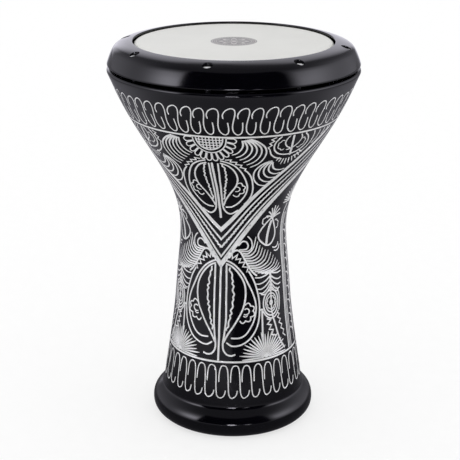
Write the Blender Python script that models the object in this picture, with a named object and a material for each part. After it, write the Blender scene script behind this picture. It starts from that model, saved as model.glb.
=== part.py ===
"""Goblet drum (darbuka): cast-aluminium shell with a recessed-screw tuning rim.

+Z runs up the drum's axis, with the origin at the centre of the flat ring the
foot stands on. The player's side is -Y. Sizes are in millimetres and become
metres when vertices are made.

Pieces: shell (foot, waist, bell, screw flange and bearing-edge collar in one
casting), tuning rim, head film, flesh hoop, eight tension screws and washers.
Everything except the shell rides on one empty, head_carrier.
"""

import math

import bmesh
import bpy
from mathutils import Matrix, Vector

TO_METRES = 0.001
SEGMENTS = 48            # round the large turned pieces
SMALL_SEGMENTS = 18      # round the screws and washers
HOLE_SEGMENTS = 20
SHARP_ANGLE = math.radians(32.0)   # edges at least this steep are shaded sharp

TOTAL_HEIGHT = 443.7     # floor to the rim's lip
CLOSE_GAP = 0.3          # film to collar and slot, hoop to step, screw to hole and washer
LOOSE_GAP = 0.4          # hoop to collar and rim bore, screw head to counterbore

# ---- shell
FOOT_CONTACT_R = 83.4    # outer edge of the flat ring the drum stands on
FOOT_BORE_R = 79.0
SHELL_TOP_R = 140.5      # widest part, at the top of the bell
SHELL_TOP_ROUND = 3.0
FLANGE_Z = 415.2         # flat top of the flange
FLANGE_UNDERSIDE_Z = 406.4
COLLAR_R = 109.6         # outside of the bearing-edge collar
COLLAR_BORE_R = 103.0
COLLAR_FILLET = 1.6      # at the collar's outer foot
BEARING_Z = 441.1        # crest of the bearing edge
BEARING_ROUND = 3.0      # outer round-over of the bearing edge
BEARING_INNER_ROUND = 2.0
BEARING_CENTRE = (COLLAR_R - BEARING_ROUND, BEARING_Z - BEARING_ROUND)

# Shell outlines are (radius, z) points: up the outside, then down the inside.
FOOT = [
    (FOOT_CONTACT_R, 0.0), (86.9, 0.8), (90.4, 3.2), (93.2, 6.5), (94.8, 11.3),
    (94.9, 16.0), (93.8, 21.2), (91.6, 24.9), (87.6, 28.9), (83.5, 32.0),
]
CONE = [
    (82.3, 35.0), (77.9, 65.0), (74.9, 85.0), (71.5, 110.0),
    (67.8, 140.0), (64.9, 175.0), (62.5, 201.0), (61.2, 217.0),
]
WAIST = [(60.8, 230.0), (61.9, 244.0), (64.8, 260.0), (69.4, 275.0), (75.9, 290.0)]
BELL = [
    (86.7, 310.0), (98.6, 330.0), (112.2, 352.0), (124.0, 374.0),
    (133.6, 395.0), (138.95, 408.0), (140.3, 411.2),
]
COLLAR_BORE = [(COLLAR_BORE_R, 430.0), (105.0, 412.0)]
BELL_BORE = [
    (108.5, FLANGE_UNDERSIDE_Z), (127.0, FLANGE_UNDERSIDE_Z), (130.8, 404.9),
    (131.2, 400.6), (125.6, 387.0), (106.6, 352.3), (82.6, 312.5),
    (71.3, 291.5), (64.2, 273.0), (59.2, 254.0), (56.6, 232.0),
]
CONE_BORE = [(58.0, 201.0), (61.2, 165.0), (67.0, 110.0), (73.4, 65.0), (77.0, 42.0)]
FOOT_BORE = [
    (78.3, 33.2), (81.6, 28.2), (86.2, 23.8), (89.4, 18.8), (90.0, 14.0),
    (88.4, 9.4), (84.6, 5.6), (80.4, 4.0), (FOOT_BORE_R, 2.8), (FOOT_BORE_R, 0.0),
]

# ---- tuning rim
RIM_BOTTOM_Z = 418.7
RIM_BORE_R = 115.0       # bore round the flesh hoop
RIM_BORE_CHAMFER = (0.8, 0.7)      # radial, axial
STEP_Z = 427.0           # underside of the step that presses on the hoop
THROAT_R = 112.3         # bore above the step
LIP_R = 111.4            # mouth of the rim
LIP_ROUND = 0.9

# (radius, z) up the outside of the rim to the lip
RIM_OUTSIDE = [
    (139.5, RIM_BOTTOM_Z), (140.1, 419.3), (139.1, 422.4), (138.1, 425.3),
    (137.0, 428.2), (135.7, 431.1), (133.9, 434.6), (132.4, 436.6), (130.0, 438.5),
    (126.5, 440.2), (121.5, 441.85), (116.5, 443.05), (113.4, 443.55),
]
# (radius, z) down the mouth of the rim, from below the lip to the throat
RIM_MOUTH = [(LIP_R, 441.7), (111.9, 440.6), (THROAT_R, 439.4)]

# ---- flesh hoop, a channel open at the top, and the film whose skirt it holds
FILM_THICKNESS = 0.4
HOOP_INNER_R = COLLAR_R + LOOSE_GAP
HOOP_OUTER_R = RIM_BORE_R - LOOSE_GAP
HOOP_TOP_Z = STEP_Z - CLOSE_GAP
HOOP_BOTTOM_Z = HOOP_TOP_Z - 6.0
HOOP_CHAMFER = 0.4
SLOT_INNER_R = HOOP_INNER_R + 0.8
SLOT_OUTER_R = SLOT_INNER_R + FILM_THICKNESS + 2.0 * CLOSE_GAP
SLOT_FLOOR_Z = HOOP_BOTTOM_Z + 1.5
FILM_Z = BEARING_Z + CLOSE_GAP     # underside of the film
SKIRT_R = SLOT_INNER_R + CLOSE_GAP
SKIRT_BEND_Z = 427.2     # the skirt is upright below here
SKIRT_END_Z = 423.4

# ---- screws and washers
SCREWS = 8
SCREW_CIRCLE_R = 124.2
FIRST_SCREW_DEG = -102.4           # from +X, counter-clockwise seen from above
SOCKET_TURN_DEG = 37.0   # extra turn of each socket on the one before
SHANK_R = 3.0
SHANK_CHAMFER = 0.7
SCREW_LENGTH = 26.8      # under the head
HEAD_R = 5.0
HEAD_HEIGHT = 6.0
HEAD_CHAMFER = 0.5
HEX_ACROSS_FLATS = 5.0
HEX_DEPTH = 3.2
HEX_CHAMFER = (0.25, 0.4)          # beyond the corners, deep
WASHER_THICKNESS = 1.0
WASHER_CHAMFER = 0.2

HOLE_R = SHANK_R + CLOSE_GAP       # rim, flange and washers
COUNTERBORE_R = HEAD_R + LOOSE_GAP
COUNTERBORE_Z = 430.8    # floor of the counterbore
HEAD_SEAT_Z = COUNTERBORE_Z + WASHER_THICKNESS + 2.0 * CLOSE_GAP

# (radius, z) of the hole cutters from the bottom up; their ends clear the pieces
FLANGE_HOLE = [(HOLE_R, 396.0), (HOLE_R, 422.0)]
RIM_HOLE = [
    (HOLE_R, 412.0), (HOLE_R, COUNTERBORE_Z),
    (COUNTERBORE_R, COUNTERBORE_Z), (COUNTERBORE_R, 452.0),
]


# ------------------------------------------------------------------- helpers
def clear_scene():
    for obj in list(bpy.data.objects):
        bpy.data.objects.remove(obj, do_unlink=True)


def material(name, colour, metallic, roughness):
    made = bpy.data.materials.new(name)
    made.use_nodes = True
    shader = made.node_tree.nodes["Principled BSDF"]
    shader.inputs["Base Color"].default_value = (*colour, 1.0)
    shader.inputs["Metallic"].default_value = metallic
    shader.inputs["Roughness"].default_value = roughness
    made.diffuse_color = (*colour, 1.0)
    return made


def arc(centre, radius, start, end, steps):
    """Points (radius, z) on an arc in the section plane, angles in degrees."""
    points = []
    for i in range(steps + 1):
        angle = math.radians(start + (end - start) * i / steps)
        points.append((centre[0] + radius * math.cos(angle),
                       centre[1] + radius * math.sin(angle)))
    return points


def ring_angles(sides, offset=0.5):
    """Evenly spaced angles, the first one offset by a share of a side."""
    return [2.0 * math.pi * (i + offset) / sides for i in range(sides)]


def polar_point(radius, angle, z):
    """Point in metres from a radius and height in millimetres."""
    return Vector((radius * math.cos(angle), radius * math.sin(angle), z)) * TO_METRES


def circle(radius, z, sides, offset=0.5):
    return [polar_point(radius, angle, z) for angle in ring_angles(sides, offset)]


def shade(build):
    """Smooth faces, with sharp edges where the surface turns steeply."""
    for face in build.faces:
        face.smooth = True
    for edge in build.edges:
        if len(edge.link_faces) == 2:
            edge.smooth = edge.calc_face_angle(0.0) < SHARP_ANGLE


def link_object(name, data):
    obj = bpy.data.objects.new(name, data)
    bpy.context.scene.collection.objects.link(obj)
    return obj


def add_object(name, build, surface=None):
    """Turn a bmesh into an object; without a material it is left unshaded."""
    bmesh.ops.recalc_face_normals(build, faces=build.faces)
    mesh = bpy.data.meshes.new(name)
    if surface:
        shade(build)
        mesh.materials.append(surface)
    build.to_mesh(mesh)
    build.free()
    return link_object(name, mesh)


def turned(section, segments=SEGMENTS):
    """A closed section of (radius, z) points turned about +Z.
    A point at radius 0 becomes one vertex on the axis."""
    build = bmesh.new()
    rings = []
    for radius, z in section:
        if radius == 0.0:
            rings.append([build.verts.new((0.0, 0.0, z * TO_METRES))] * segments)
        else:
            points = circle(radius, z, segments, offset=0.0)
            rings.append([build.verts.new(point) for point in points])
    for low, high in zip(rings, rings[1:] + rings[:1]):
        if low[0] is low[1] and high[0] is high[1]:
            continue
        for i in range(segments):
            j = (i + 1) % segments
            # a quad loses its repeated corner where it meets the axis
            corners = dict.fromkeys((low[i], low[j], high[j], high[i]))
            build.faces.new(list(corners))
    return build


def loft(build, rings):
    """Add a closed solid through rings of equal length, capped at both ends."""
    made = [[build.verts.new(point) for point in ring] for ring in rings]
    for low, high in zip(made, made[1:]):
        for i in range(len(low)):
            j = (i + 1) % len(low)
            build.faces.new((low[i], low[j], high[j], high[i]))
    build.faces.new(list(reversed(made[0])))
    build.faces.new(made[-1])


def screw_angle(index):
    """Direction of a screw from the axis, in degrees."""
    return FIRST_SCREW_DEG + 360.0 * index / SCREWS


def screw_position(index, z):
    return polar_point(SCREW_CIRCLE_R, math.radians(screw_angle(index)), z)


def cut_screw_holes(obj, cutter_name, steps):
    """Cut a stepped round hole at every screw; steps are (radius, z) upwards."""
    build = bmesh.new()
    for index in range(SCREWS):
        centre = screw_position(index, 0.0)
        loft(build, [[centre + point for point in circle(radius, z, HOLE_SEGMENTS)]
                     for radius, z in steps])
    cutter = add_object(cutter_name, build)
    cutter.hide_render = True
    cutter.display_type = "WIRE"

    modifier = obj.modifiers.new("screw_holes", "BOOLEAN")
    modifier.operation = "DIFFERENCE"
    modifier.solver = "EXACT"
    modifier.object = cutter


# ------------------------------------------------------- sections and meshes
def shell_section():
    top_centre = (SHELL_TOP_R - SHELL_TOP_ROUND, FLANGE_Z - SHELL_TOP_ROUND)
    inner_centre = (COLLAR_BORE_R + BEARING_INNER_ROUND, BEARING_Z - BEARING_INNER_ROUND)
    top_edge = arc(top_centre, SHELL_TOP_ROUND, 0.0, 90.0, steps=4)
    collar_foot = [
        (COLLAR_R + COLLAR_FILLET, FLANGE_Z),
        (COLLAR_R + 0.4, FLANGE_Z + 0.5),   # middle of the fillet
        (COLLAR_R, FLANGE_Z + COLLAR_FILLET),
    ]
    bearing_edge = (arc(BEARING_CENTRE, BEARING_ROUND, 0.0, 90.0, steps=6)
                    + arc(inner_centre, BEARING_INNER_ROUND, 90.0, 180.0, steps=3))
    return (FOOT + CONE + WAIST + BELL + top_edge + collar_foot + bearing_edge
            + COLLAR_BORE + BELL_BORE + CONE_BORE + FOOT_BORE)


def rim_section():
    lip_centre = (LIP_R + LIP_ROUND, TOTAL_HEIGHT - LIP_ROUND)
    lip = arc(lip_centre, LIP_ROUND, 80.0, 180.0, steps=4)
    chamfer_width, chamfer_height = RIM_BORE_CHAMFER
    bore = [
        (THROAT_R, STEP_Z), (RIM_BORE_R, STEP_Z),
        (RIM_BORE_R, RIM_BOTTOM_Z + chamfer_height),
        (RIM_BORE_R + chamfer_width, RIM_BOTTOM_Z),
    ]
    return RIM_OUTSIDE + lip + RIM_MOUTH + bore


def film_section():
    """Flat disc, bent over the bearing edge into a skirt."""
    under_round = BEARING_ROUND + CLOSE_GAP
    outer_skirt_r = SKIRT_R + FILM_THICKNESS
    underside = ([(0.0, FILM_Z)]
                 + arc(BEARING_CENTRE, under_round, 90.0, 0.0, steps=6)
                 + [(SKIRT_R, SKIRT_BEND_Z), (SKIRT_R, SKIRT_END_Z)])
    topside = ([(outer_skirt_r, SKIRT_END_Z), (outer_skirt_r, SKIRT_BEND_Z)]
               + arc(BEARING_CENTRE, under_round + FILM_THICKNESS, 0.0, 90.0, steps=6)
               + [(0.0, FILM_Z + FILM_THICKNESS)])
    return underside + topside


def hoop_section():
    return [
        (HOOP_OUTER_R, HOOP_BOTTOM_Z + HOOP_CHAMFER),
        (HOOP_OUTER_R, HOOP_TOP_Z - HOOP_CHAMFER),
        (HOOP_OUTER_R - HOOP_CHAMFER, HOOP_TOP_Z),
        (SLOT_OUTER_R, HOOP_TOP_Z), (SLOT_OUTER_R, SLOT_FLOOR_Z),
        (SLOT_INNER_R, SLOT_FLOOR_Z), (SLOT_INNER_R, HOOP_TOP_Z),
        (HOOP_INNER_R, HOOP_TOP_Z),
        (HOOP_INNER_R, HOOP_BOTTOM_Z + HOOP_CHAMFER),
        (HOOP_INNER_R + HOOP_CHAMFER, HOOP_BOTTOM_Z),
        (HOOP_OUTER_R - HOOP_CHAMFER, HOOP_BOTTOM_Z),
    ]


def washer_section():
    """Washer below z = 0, the underside of the screw head."""
    top = -CLOSE_GAP
    bottom = top - WASHER_THICKNESS
    return [
        (HEAD_R, bottom), (HEAD_R, top - WASHER_CHAMFER),
        (HEAD_R - WASHER_CHAMFER, top), (HOLE_R, top), (HOLE_R, bottom),
    ]


def hexagon(z):
    """Socket outline with as many points as the screw's round rings."""
    sixth = math.pi / 3.0
    points = []
    for angle in ring_angles(SMALL_SEGMENTS):
        from_flat = (angle + sixth / 2.0) % sixth - sixth / 2.0
        radius = HEX_ACROSS_FLATS / 2.0 / math.cos(from_flat)
        points.append(polar_point(radius, angle, z))
    return points


def screw_mesh(turn):
    """Socket cap screw on +Z, turned by an angle in radians, as one skin.
    The underside of its head is at z = 0."""
    chamfer_width, chamfer_depth = HEX_CHAMFER
    socket_mouth_r = HEX_ACROSS_FLATS / 2.0 / math.cos(math.pi / 6.0) + chamfer_width
    outline = [
        (SHANK_R - SHANK_CHAMFER, -SCREW_LENGTH),
        (SHANK_R, -SCREW_LENGTH + SHANK_CHAMFER),
        (SHANK_R, 0.0),
        (HEAD_R, 0.0),
        (HEAD_R, HEAD_HEIGHT - HEAD_CHAMFER),
        (HEAD_R - HEAD_CHAMFER, HEAD_HEIGHT),
        (socket_mouth_r, HEAD_HEIGHT),
    ]
    rings = [circle(radius, z, SMALL_SEGMENTS) for radius, z in outline]
    rings += [hexagon(HEAD_HEIGHT - chamfer_depth), hexagon(HEAD_HEIGHT - HEX_DEPTH)]
    build = bmesh.new()
    loft(build, rings)
    bmesh.ops.rotate(build, cent=(0, 0, 0), matrix=Matrix.Rotation(turn, 3, "Z"),
                     verts=build.verts)
    return build


# --------------------------------------------------------------------- build
def build_shell():
    lacquer = material("black_lacquered_aluminium", colour=(0.02, 0.02, 0.024),
                       metallic=0.0, roughness=0.12)
    shell = add_object("shell", turned(shell_section()), lacquer)
    cut_screw_holes(shell, "flange_hole_cutters", FLANGE_HOLE)


def build_rim(carrier):
    lacquer = material("black_lacquered_rim", colour=(0.02, 0.02, 0.024),
                       metallic=0.0, roughness=0.12)
    rim = add_object("tuning_rim", turned(rim_section()), lacquer)
    rim.parent = carrier
    cut_screw_holes(rim, "rim_hole_cutters", RIM_HOLE)


def build_film(carrier):
    white = material("white_synthetic_film", colour=(0.72, 0.72, 0.70),
                     metallic=0.0, roughness=0.45)
    add_object("head_film", turned(film_section()), white).parent = carrier


def build_hoop(carrier):
    metal = material("plain_aluminium_channel", colour=(0.72, 0.72, 0.73),
                     metallic=1.0, roughness=0.35)
    add_object("flesh_hoop", turned(hoop_section()), metal).parent = carrier


def build_screws(carrier):
    chrome = material("chrome_plated_steel", colour=(0.8, 0.8, 0.82),
                      metallic=1.0, roughness=0.1)
    zinc = material("zinc_plated_steel", colour=(0.6, 0.6, 0.62),
                    metallic=1.0, roughness=0.3)
    for index in range(SCREWS):
        # each socket stands at its own angle, as tuned screws do
        turn = math.radians(screw_angle(index) + (index * SOCKET_TURN_DEG) % 60.0)
        screw = add_object(f"tension_screw_{index + 1}", screw_mesh(turn), chrome)
        washer = add_object(f"washer_{index + 1}",
                            turned(washer_section(), SMALL_SEGMENTS), zinc)
        for piece in (screw, washer):
            piece.location = screw_position(index, HEAD_SEAT_Z)
            piece.parent = carrier


clear_scene()
build_shell()
head_carrier = link_object("head_carrier", None)
build_rim(head_carrier)
build_film(head_carrier)
build_hoop(head_carrier)
build_screws(head_carrier)
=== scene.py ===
"""Looks of a goblet drum (darbuka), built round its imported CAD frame.

The drum stands on its foot at z = 0 with its axis on Z and its head facing up. The
player and the camera are on the -Y side. Dimensions are millimetres, meshes are metres.
An angle "deg" is counted from -Y, positive towards +X: x = r sin(deg), y = -r cos(deg).
"""

import math
import random

import bpy
import numpy as np
from mathutils import Matrix, Vector
from mathutils.geometry import delaunay_2d_cdt
from mathutils.kdtree import KDTree


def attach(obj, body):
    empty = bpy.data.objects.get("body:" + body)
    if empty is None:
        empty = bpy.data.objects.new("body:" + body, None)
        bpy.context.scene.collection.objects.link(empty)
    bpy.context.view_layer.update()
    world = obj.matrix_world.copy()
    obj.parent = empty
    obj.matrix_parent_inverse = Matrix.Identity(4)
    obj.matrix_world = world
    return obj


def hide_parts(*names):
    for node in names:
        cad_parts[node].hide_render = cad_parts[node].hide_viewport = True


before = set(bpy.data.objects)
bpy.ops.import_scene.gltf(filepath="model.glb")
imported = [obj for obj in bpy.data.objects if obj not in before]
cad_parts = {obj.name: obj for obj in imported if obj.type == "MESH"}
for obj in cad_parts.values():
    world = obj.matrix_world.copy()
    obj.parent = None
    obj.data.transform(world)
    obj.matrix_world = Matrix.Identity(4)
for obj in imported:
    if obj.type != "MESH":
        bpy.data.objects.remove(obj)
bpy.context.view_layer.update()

MM = 0.001
DEG = math.pi / 180.0
rng = random.Random(7)

# ---------------------------------------------------------------- dimensions
CREASE_Z = 35.2                             # where the foot meets the body
ENGRAVE_LOW, ENGRAVE_HIGH = 40.5, 402.0     # the engraved zone of the shell
CENTRE = -12.6                              # deg of a front panel's middle
LEFT = CENTRE - 93.7                        # deg where the drawn half turn begins
COLS = 240                                  # columns round the shell
RIM_COLS = 288
HEAD_COLS = 192                             # columns round the head film and the hoop

SCREWS = 8
SCREW_R, SCREW_Z = 124.2, 432.4             # pitch radius, underside of the screw heads
FIRST_SCREW = -12.4                         # deg
HOLE_R = 3.3
FLANGE_TOP, FLANGE_UNDER = 415.2, 406.4
COLLAR_EDGE = (106.6, 438.1)                # (r, z) about which collar and film are rounded
RIM_BASE = 418.7
RIM_PATCH = (116.6, 131.6)                  # radii between which the rim top holds the holes
COUNTERBORE_R, COUNTERBORE_Z = 5.3, 430.8

# outside of the shell: (z, radius)
SHELL_PROFILE = [
    (35.2, 82.3), (41, 81.45), (45, 80.85), (52, 79.95), (65, 77.95), (85, 74.95),
    (110, 71.45), (140, 67.85), (165, 65.75), (185, 64.1), (200, 62.65), (215, 61.45),
    (230, 60.9), (245, 61.95), (260, 64.75), (275, 69.4), (290, 76), (310, 86.9),
    (330, 98.8), (350, 110.7), (370, 121.7), (390, 131.3), (402, 136.35), (408, 138.95),
    (411.2, 140.3), (414.4, 141.6)]
# outside of the foot, floor to crease: (radius, z)
FOOT_OUTSIDE = [
    (83.4, 0), (84.8, 0.12), (86.4, 0.6), (88.2, 1.55), (90, 2.85), (91.7, 4.5), (93.1, 6.3),
    (94.1, 8.3), (94.7, 10.5), (94.95, 12.8), (94.95, 14.8), (94.8, 17), (94.3, 19.5),
    (93.4, 21.9), (92, 24.2), (90.2, 26.4), (88.1, 28.4), (86.2, 30), (84.8, 31.1),
    (83.8, 31.9), (83.1, 32.7), (82.65, 33.8)]
# inside of the body, foot to bell: (z, radius)
BODY_INSIDE = [
    (42, 77), (65, 73.4), (87, 70.2), (110, 67), (138, 64), (165, 61.2), (201, 58),
    (218, 56.9), (232, 56.6), (243, 57.4), (254, 59.2), (263, 61.2), (273, 64.2), (282, 67.4),
    (291.5, 71.3), (301.4, 76.3), (312.5, 82.6), (331.6, 94.4), (352.3, 106.6), (369, 116.4),
    (387, 125.6), (400.6, 131.2)]
# inside corner under the flange, downwards: (radius, z)
FLANGE_INSIDE = [(128.2, FLANGE_UNDER), (129.8, 405.7), (131, 404.2), (131.4, 402.2),
                 (131.2, 400), (130.4, 397.6)]
# inside of the foot, downwards: (radius, z)
FOOT_INSIDE = [
    (77.2, 39), (77.6, 36), (78.4, 33), (80, 30), (82.4, 27.4), (85, 25), (87.4, 22.3),
    (89.2, 19.2), (90, 15.8), (90, 12.6), (89.2, 10), (87.4, 7.6), (84.8, 5.7), (82.2, 4.7),
    (80.4, 4), (79.3, 3.1), (79, 2), (79, 0.5), (79.5, 0)]
# top of the rim: (radius, z)
RIM_TOP = [
    (111.9, 443.68), (112.6, 443.66), (114, 443.5), (116, 443.17), (118.5, 442.65),
    (121, 441.98), (124, 441.08), (126.5, 440.2), (128.4, 439.4), (130, 438.5),
    (131.4, 437.5), (132.6, 436.4)]
# outer side of the rim: (z, radius)
RIM_SIDE = [
    (418.9, 140.14), (419.6, 140.06), (422.4, 139.15), (425.3, 138.1), (428.2, 136.95),
    (431.1, 135.65), (433, 134.75), (434.8, 133.75), (436.4, 132.6)]
# section of the hoop channel: (radius, z)
HOOP_SECTION = [
    (110.4, 420.7), (114.2, 420.7), (114.6, 421.1), (114.6, 426.3), (114.2, 426.7),
    (112.2, 426.7), (111.8, 426.3), (111.8, 422.2), (110.8, 422.2), (110.8, 426.3),
    (110.4, 426.7), (110.2, 426.5), (110, 426.3), (110, 421.1)]
# section of a washer: (radius, z)
WASHER_SECTION = [
    (3.45, 431.1), (4.85, 431.1), (5, 431.25), (5, 431.92), (4.82, 432.1), (3.5, 432.1),
    (3.3, 431.92), (3.3, 431.25), (3.45, 431.1)]


# -------------------------------------------------------------- shell surface
def hermite(table, at):
    """Smooth curve through (x, y) pairs, slopes from the neighbours."""
    x, y = np.array(table, float).T
    gap = np.diff(x)
    rise = np.diff(y) / gap
    slope = np.empty(len(x))
    slope[0], slope[-1] = rise[0], rise[-1]
    slope[1:-1] = (rise[:-1] * gap[1:] + rise[1:] * gap[:-1]) / (gap[:-1] + gap[1:])
    at = np.asarray(at, float)
    i = np.clip(np.searchsorted(x, at) - 1, 0, len(gap) - 1)
    part = (at - x[i]) / gap[i]
    return ((2 * part**3 - 3 * part**2 + 1) * y[i]
            + (part**3 - 2 * part**2 + part) * gap[i] * slope[i]
            + (-2 * part**3 + 3 * part**2) * y[i + 1]
            + (part**3 - part**2) * gap[i] * slope[i + 1])


Z_AXIS = np.arange(CREASE_Z, 414.41, 0.2)
RADII = hermite(SHELL_PROFILE, Z_AXIS)
SLOPES = np.gradient(RADII, Z_AXIS)
LENGTHS = np.concatenate([[0.0], np.cumsum(np.hypot(np.diff(RADII), np.diff(Z_AXIS)))])


def shell_radius(z):
    return np.interp(z, Z_AXIS, RADII)


def shell_slope(z):
    """Change of radius with height."""
    return np.interp(z, Z_AXIS, SLOPES)


def length_at(z):
    """Length up the shell's profile from the crease to a height."""
    return np.interp(z, Z_AXIS, LENGTHS)


def height_at(length):
    return np.interp(length, LENGTHS, Z_AXIS)


def surface(deg, z, depth):
    """Points (metres) so deep under the shell's outside, and its outward normals."""
    slope = shell_slope(z)
    scale = 1.0 / np.sqrt(1.0 + slope**2)
    out, up = scale, -slope * scale
    radius = shell_radius(z) - out * depth
    sin, cos = np.sin(deg * DEG), np.cos(deg * DEG)
    points = np.stack([radius * sin, -radius * cos, z - up * depth], axis=-1) * MM
    return points, np.stack([out * sin, -out * cos, up], axis=-1)


def unit(rows, least=1e-9):
    return rows / np.maximum(np.linalg.norm(rows, axis=-1, keepdims=True), least)


# ------------------------------------------------------------ drawing strokes
SPLINE_STEPS = 10       # per pair of points
STATION = 1.15          # mm between the stations of a stroke
HAND = 0.16             # mm of unsteadiness
TURN_LIMIT, REACH = 0.16, 4.2       # thinning: radians of bend, mm of length
strokes = []            # each: (path of (deg, z), half widths, closed)


def spline(points, closed):
    """Catmull-Rom through (deg, z) points."""
    knots = np.array(points, float)
    if len(knots) == 2:
        return np.linspace(knots[0], knots[1], SPLINE_STEPS + 1)
    if closed:
        knots = np.vstack([knots[-1], knots, knots[0], knots[1]])
    else:
        knots = np.vstack([2 * knots[0] - knots[1], knots, 2 * knots[-1] - knots[-2]])
    out = []
    t = np.linspace(0.0, 1.0, SPLINE_STEPS, endpoint=False)[:, None]
    for i in range(1, len(knots) - 2):
        before, start, end, after = knots[i - 1:i + 3]
        out.append(0.5 * (2 * start + (end - before) * t
                          + (2 * before - 5 * start + 4 * end - after) * t**2
                          + (3 * start - before - 3 * end + after) * t**3))
    out.append(knots[-2][None, :])
    return np.vstack(out)


def path_lengths(path):
    """Millimetres along a (deg, z) path on the surface."""
    step = np.diff(path, axis=0)
    z = 0.5 * (path[1:, 1] + path[:-1, 1])
    length = np.hypot(shell_radius(z) * DEG * step[:, 0],
                      np.sqrt(1 + shell_slope(z) ** 2) * step[:, 1])
    return np.concatenate([[0.0], np.cumsum(length)])


def at_lengths(path, lengths, stations):
    return np.stack([np.interp(stations, lengths, path[:, 0]),
                     np.interp(stations, lengths, path[:, 1])], axis=1)


def sideways(path, offsets):
    """Moves each point of a path across it by so many millimetres."""
    z = path[:, 1]
    scale = np.stack([shell_radius(z) * DEG, np.sqrt(1 + shell_slope(z) ** 2)], axis=1)
    along = np.gradient(path, axis=0) * scale
    across = unit(np.stack([-along[:, 1], along[:, 0]], axis=1))
    return path + across * np.asarray(offsets)[:, None] / scale


def wobble(path, lengths, amount):
    """A steady hand is never quite steady: two slow waves, eased out at the ends."""
    if amount <= 0:
        return path
    first, second = rng.uniform(0, 6.28), rng.uniform(0, 6.28)
    offset = amount * (np.sin(lengths / 7.3 + first) + 0.6 * np.sin(lengths / 3.1 + second)) * 0.6
    ease = np.clip(np.minimum(lengths, lengths[-1] - lengths) / 4.0, 0, 1)
    return sideways(path, offset * ease)


def wavy(path, stations, amplitude, length):
    """A waving path of uneven height and pace."""
    phase = rng.uniform(0, 6.28)
    turns = stations / length * 2 * math.pi
    uneven = 0.8 + 0.35 * np.sin(turns / 3.3 + 2.0 * phase)
    swing = np.sin(turns + phase + 0.9 * np.sin(turns / 2.6 + phase))
    return sideways(path, amplitude * uneven * swing)


def stroke_stations(lengths, half, corners, closed):
    total = lengths[-1]
    stations = np.linspace(0, total, max(3, int(math.ceil(total / STATION))) + 1)
    if corners:
        return np.unique(np.round(np.concatenate([stations, lengths]), 6))
    if closed:
        return stations
    inner = stations[(stations > half * 1.05) & (stations < total - half * 1.05)]
    ends = np.array([0.0, 0.22 * half, 0.62 * half, half])
    return np.unique(np.round(np.concatenate([ends, inner, total - ends[::-1]]), 6))


def stroke(points, width, closed=False, corners=False, raw=False, wave=None, hand=HAND,
           taper=None):
    """Adds one engraved line through (deg, z) points, width in millimetres.
    corners keeps the points as sharp corners, raw takes them as they are, other points
    are splined. wave = (amplitude, length). taper is the share of the width left at the
    line's end; "leaf" swells in the middle, "spread" at both ends."""
    path = np.array(points, float) if corners or raw else spline(points, closed)
    lengths = path_lengths(path)
    total = lengths[-1]
    half = width / 2.0
    if total < 2.2 * half:
        return
    if wave:
        stations = np.linspace(0, total, max(8, int(total / (wave[1] / 7.0))))
        fine = wavy(at_lengths(path, lengths, stations), stations, *wave)
    else:
        stations = stroke_stations(lengths, half, corners, closed)
        fine = at_lengths(path, lengths, stations)
    if not corners:
        fine = wobble(fine, stations, hand)
    widths = np.full(len(fine), half)
    if not (corners or closed):
        # round caps
        to_end = np.clip(np.minimum(stations, total - stations) / half, 0, 1)
        widths = half * np.sqrt(np.maximum(0.0, 1 - (1 - to_end) ** 2))
    if taper == "leaf":
        swell = np.sin(math.pi * np.clip(stations / total, 0.0, 1.0) ** 1.3)
        widths = widths * (0.3 + 0.7 * np.maximum(0.0, swell))
    elif taper == "spread":
        widths = widths * (1.0 + 0.3 * np.abs(2.0 * stations / total - 1.0))
    elif taper is not None:
        widths = widths * (1.0 + (taper - 1.0) * (stations / total) ** 1.5)
    keep = thin_out(fine, widths)
    strokes.append((fine[keep], widths[keep], closed))


def thin_out(path, widths):
    """Stations of a stroke that its bends and its tapering need."""
    x = path[:, 0] * DEG * shell_radius(path[:, 1])
    y = length_at(path[:, 1])
    heading = np.unwrap(np.arctan2(np.diff(y), np.diff(x)))
    keep, since, gone = [0], 0.0, 0.0
    for i in range(1, len(path) - 1):
        bend = abs(heading[i] - heading[i - 1])
        since += bend
        gone += math.hypot(x[i] - x[i - 1], y[i] - y[i - 1])
        ahead = math.hypot(x[i + 1] - x[i], y[i + 1] - y[i])
        if (since > TURN_LIMIT or gone + ahead > REACH or bend > TURN_LIMIT
                or abs(widths[i] - widths[i - 1]) > 0.06
                or abs(widths[i + 1] - widths[i]) > 0.06):
            keep.append(i)
            since, gone = 0.0, 0.0
    keep.append(len(path) - 1)
    return np.array(keep)


def both(points, width, sides=(1.0, -1.0), **style):
    """The stroke and its mirror image, deg counted from the panel's middle."""
    for side in sides:
        stroke([(CENTRE + side * deg, z) for deg, z in points], width, **style)


def once(points, width, **style):
    both(points, width, sides=(1.0,), **style)


def around(centre, offsets):
    """(deg, z) points at millimetre offsets (across, up the surface) from a centre."""
    deg, height = centre
    zs = height_at(length_at(height) + np.array([up for _, up in offsets], float))
    return [(deg + across / (float(shell_radius(z)) * DEG), float(z))
            for (across, _), z in zip(offsets, zs)]


def between(first, last, count):
    """Curves from first to last, same number of points."""
    start, end = np.array(first, float), np.array(last, float)
    return [list(map(tuple, start + (end - start) * (i / (count - 1)))) for i in range(count)]


def scallops(nodes, bulge, per=5):
    """Little arcs from node to node, bulging to the left of the way drawn."""
    out = []
    for (deg0, z0), (deg1, z1) in zip(nodes, nodes[1:]):
        per_deg = float(shell_radius(0.5 * (z0 + z1))) * DEG
        across, up = (deg1 - deg0) * per_deg, z1 - z0
        length = math.hypot(across, up)
        for i in range(per):
            part = i / per
            rise = bulge * length * math.sin(math.pi * part) ** 0.75
            out.append((deg0 + (deg1 - deg0) * part - up / length * rise / per_deg,
                        z0 + up * part + across / length * rise))
    out.append(nodes[-1])
    return out


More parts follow.
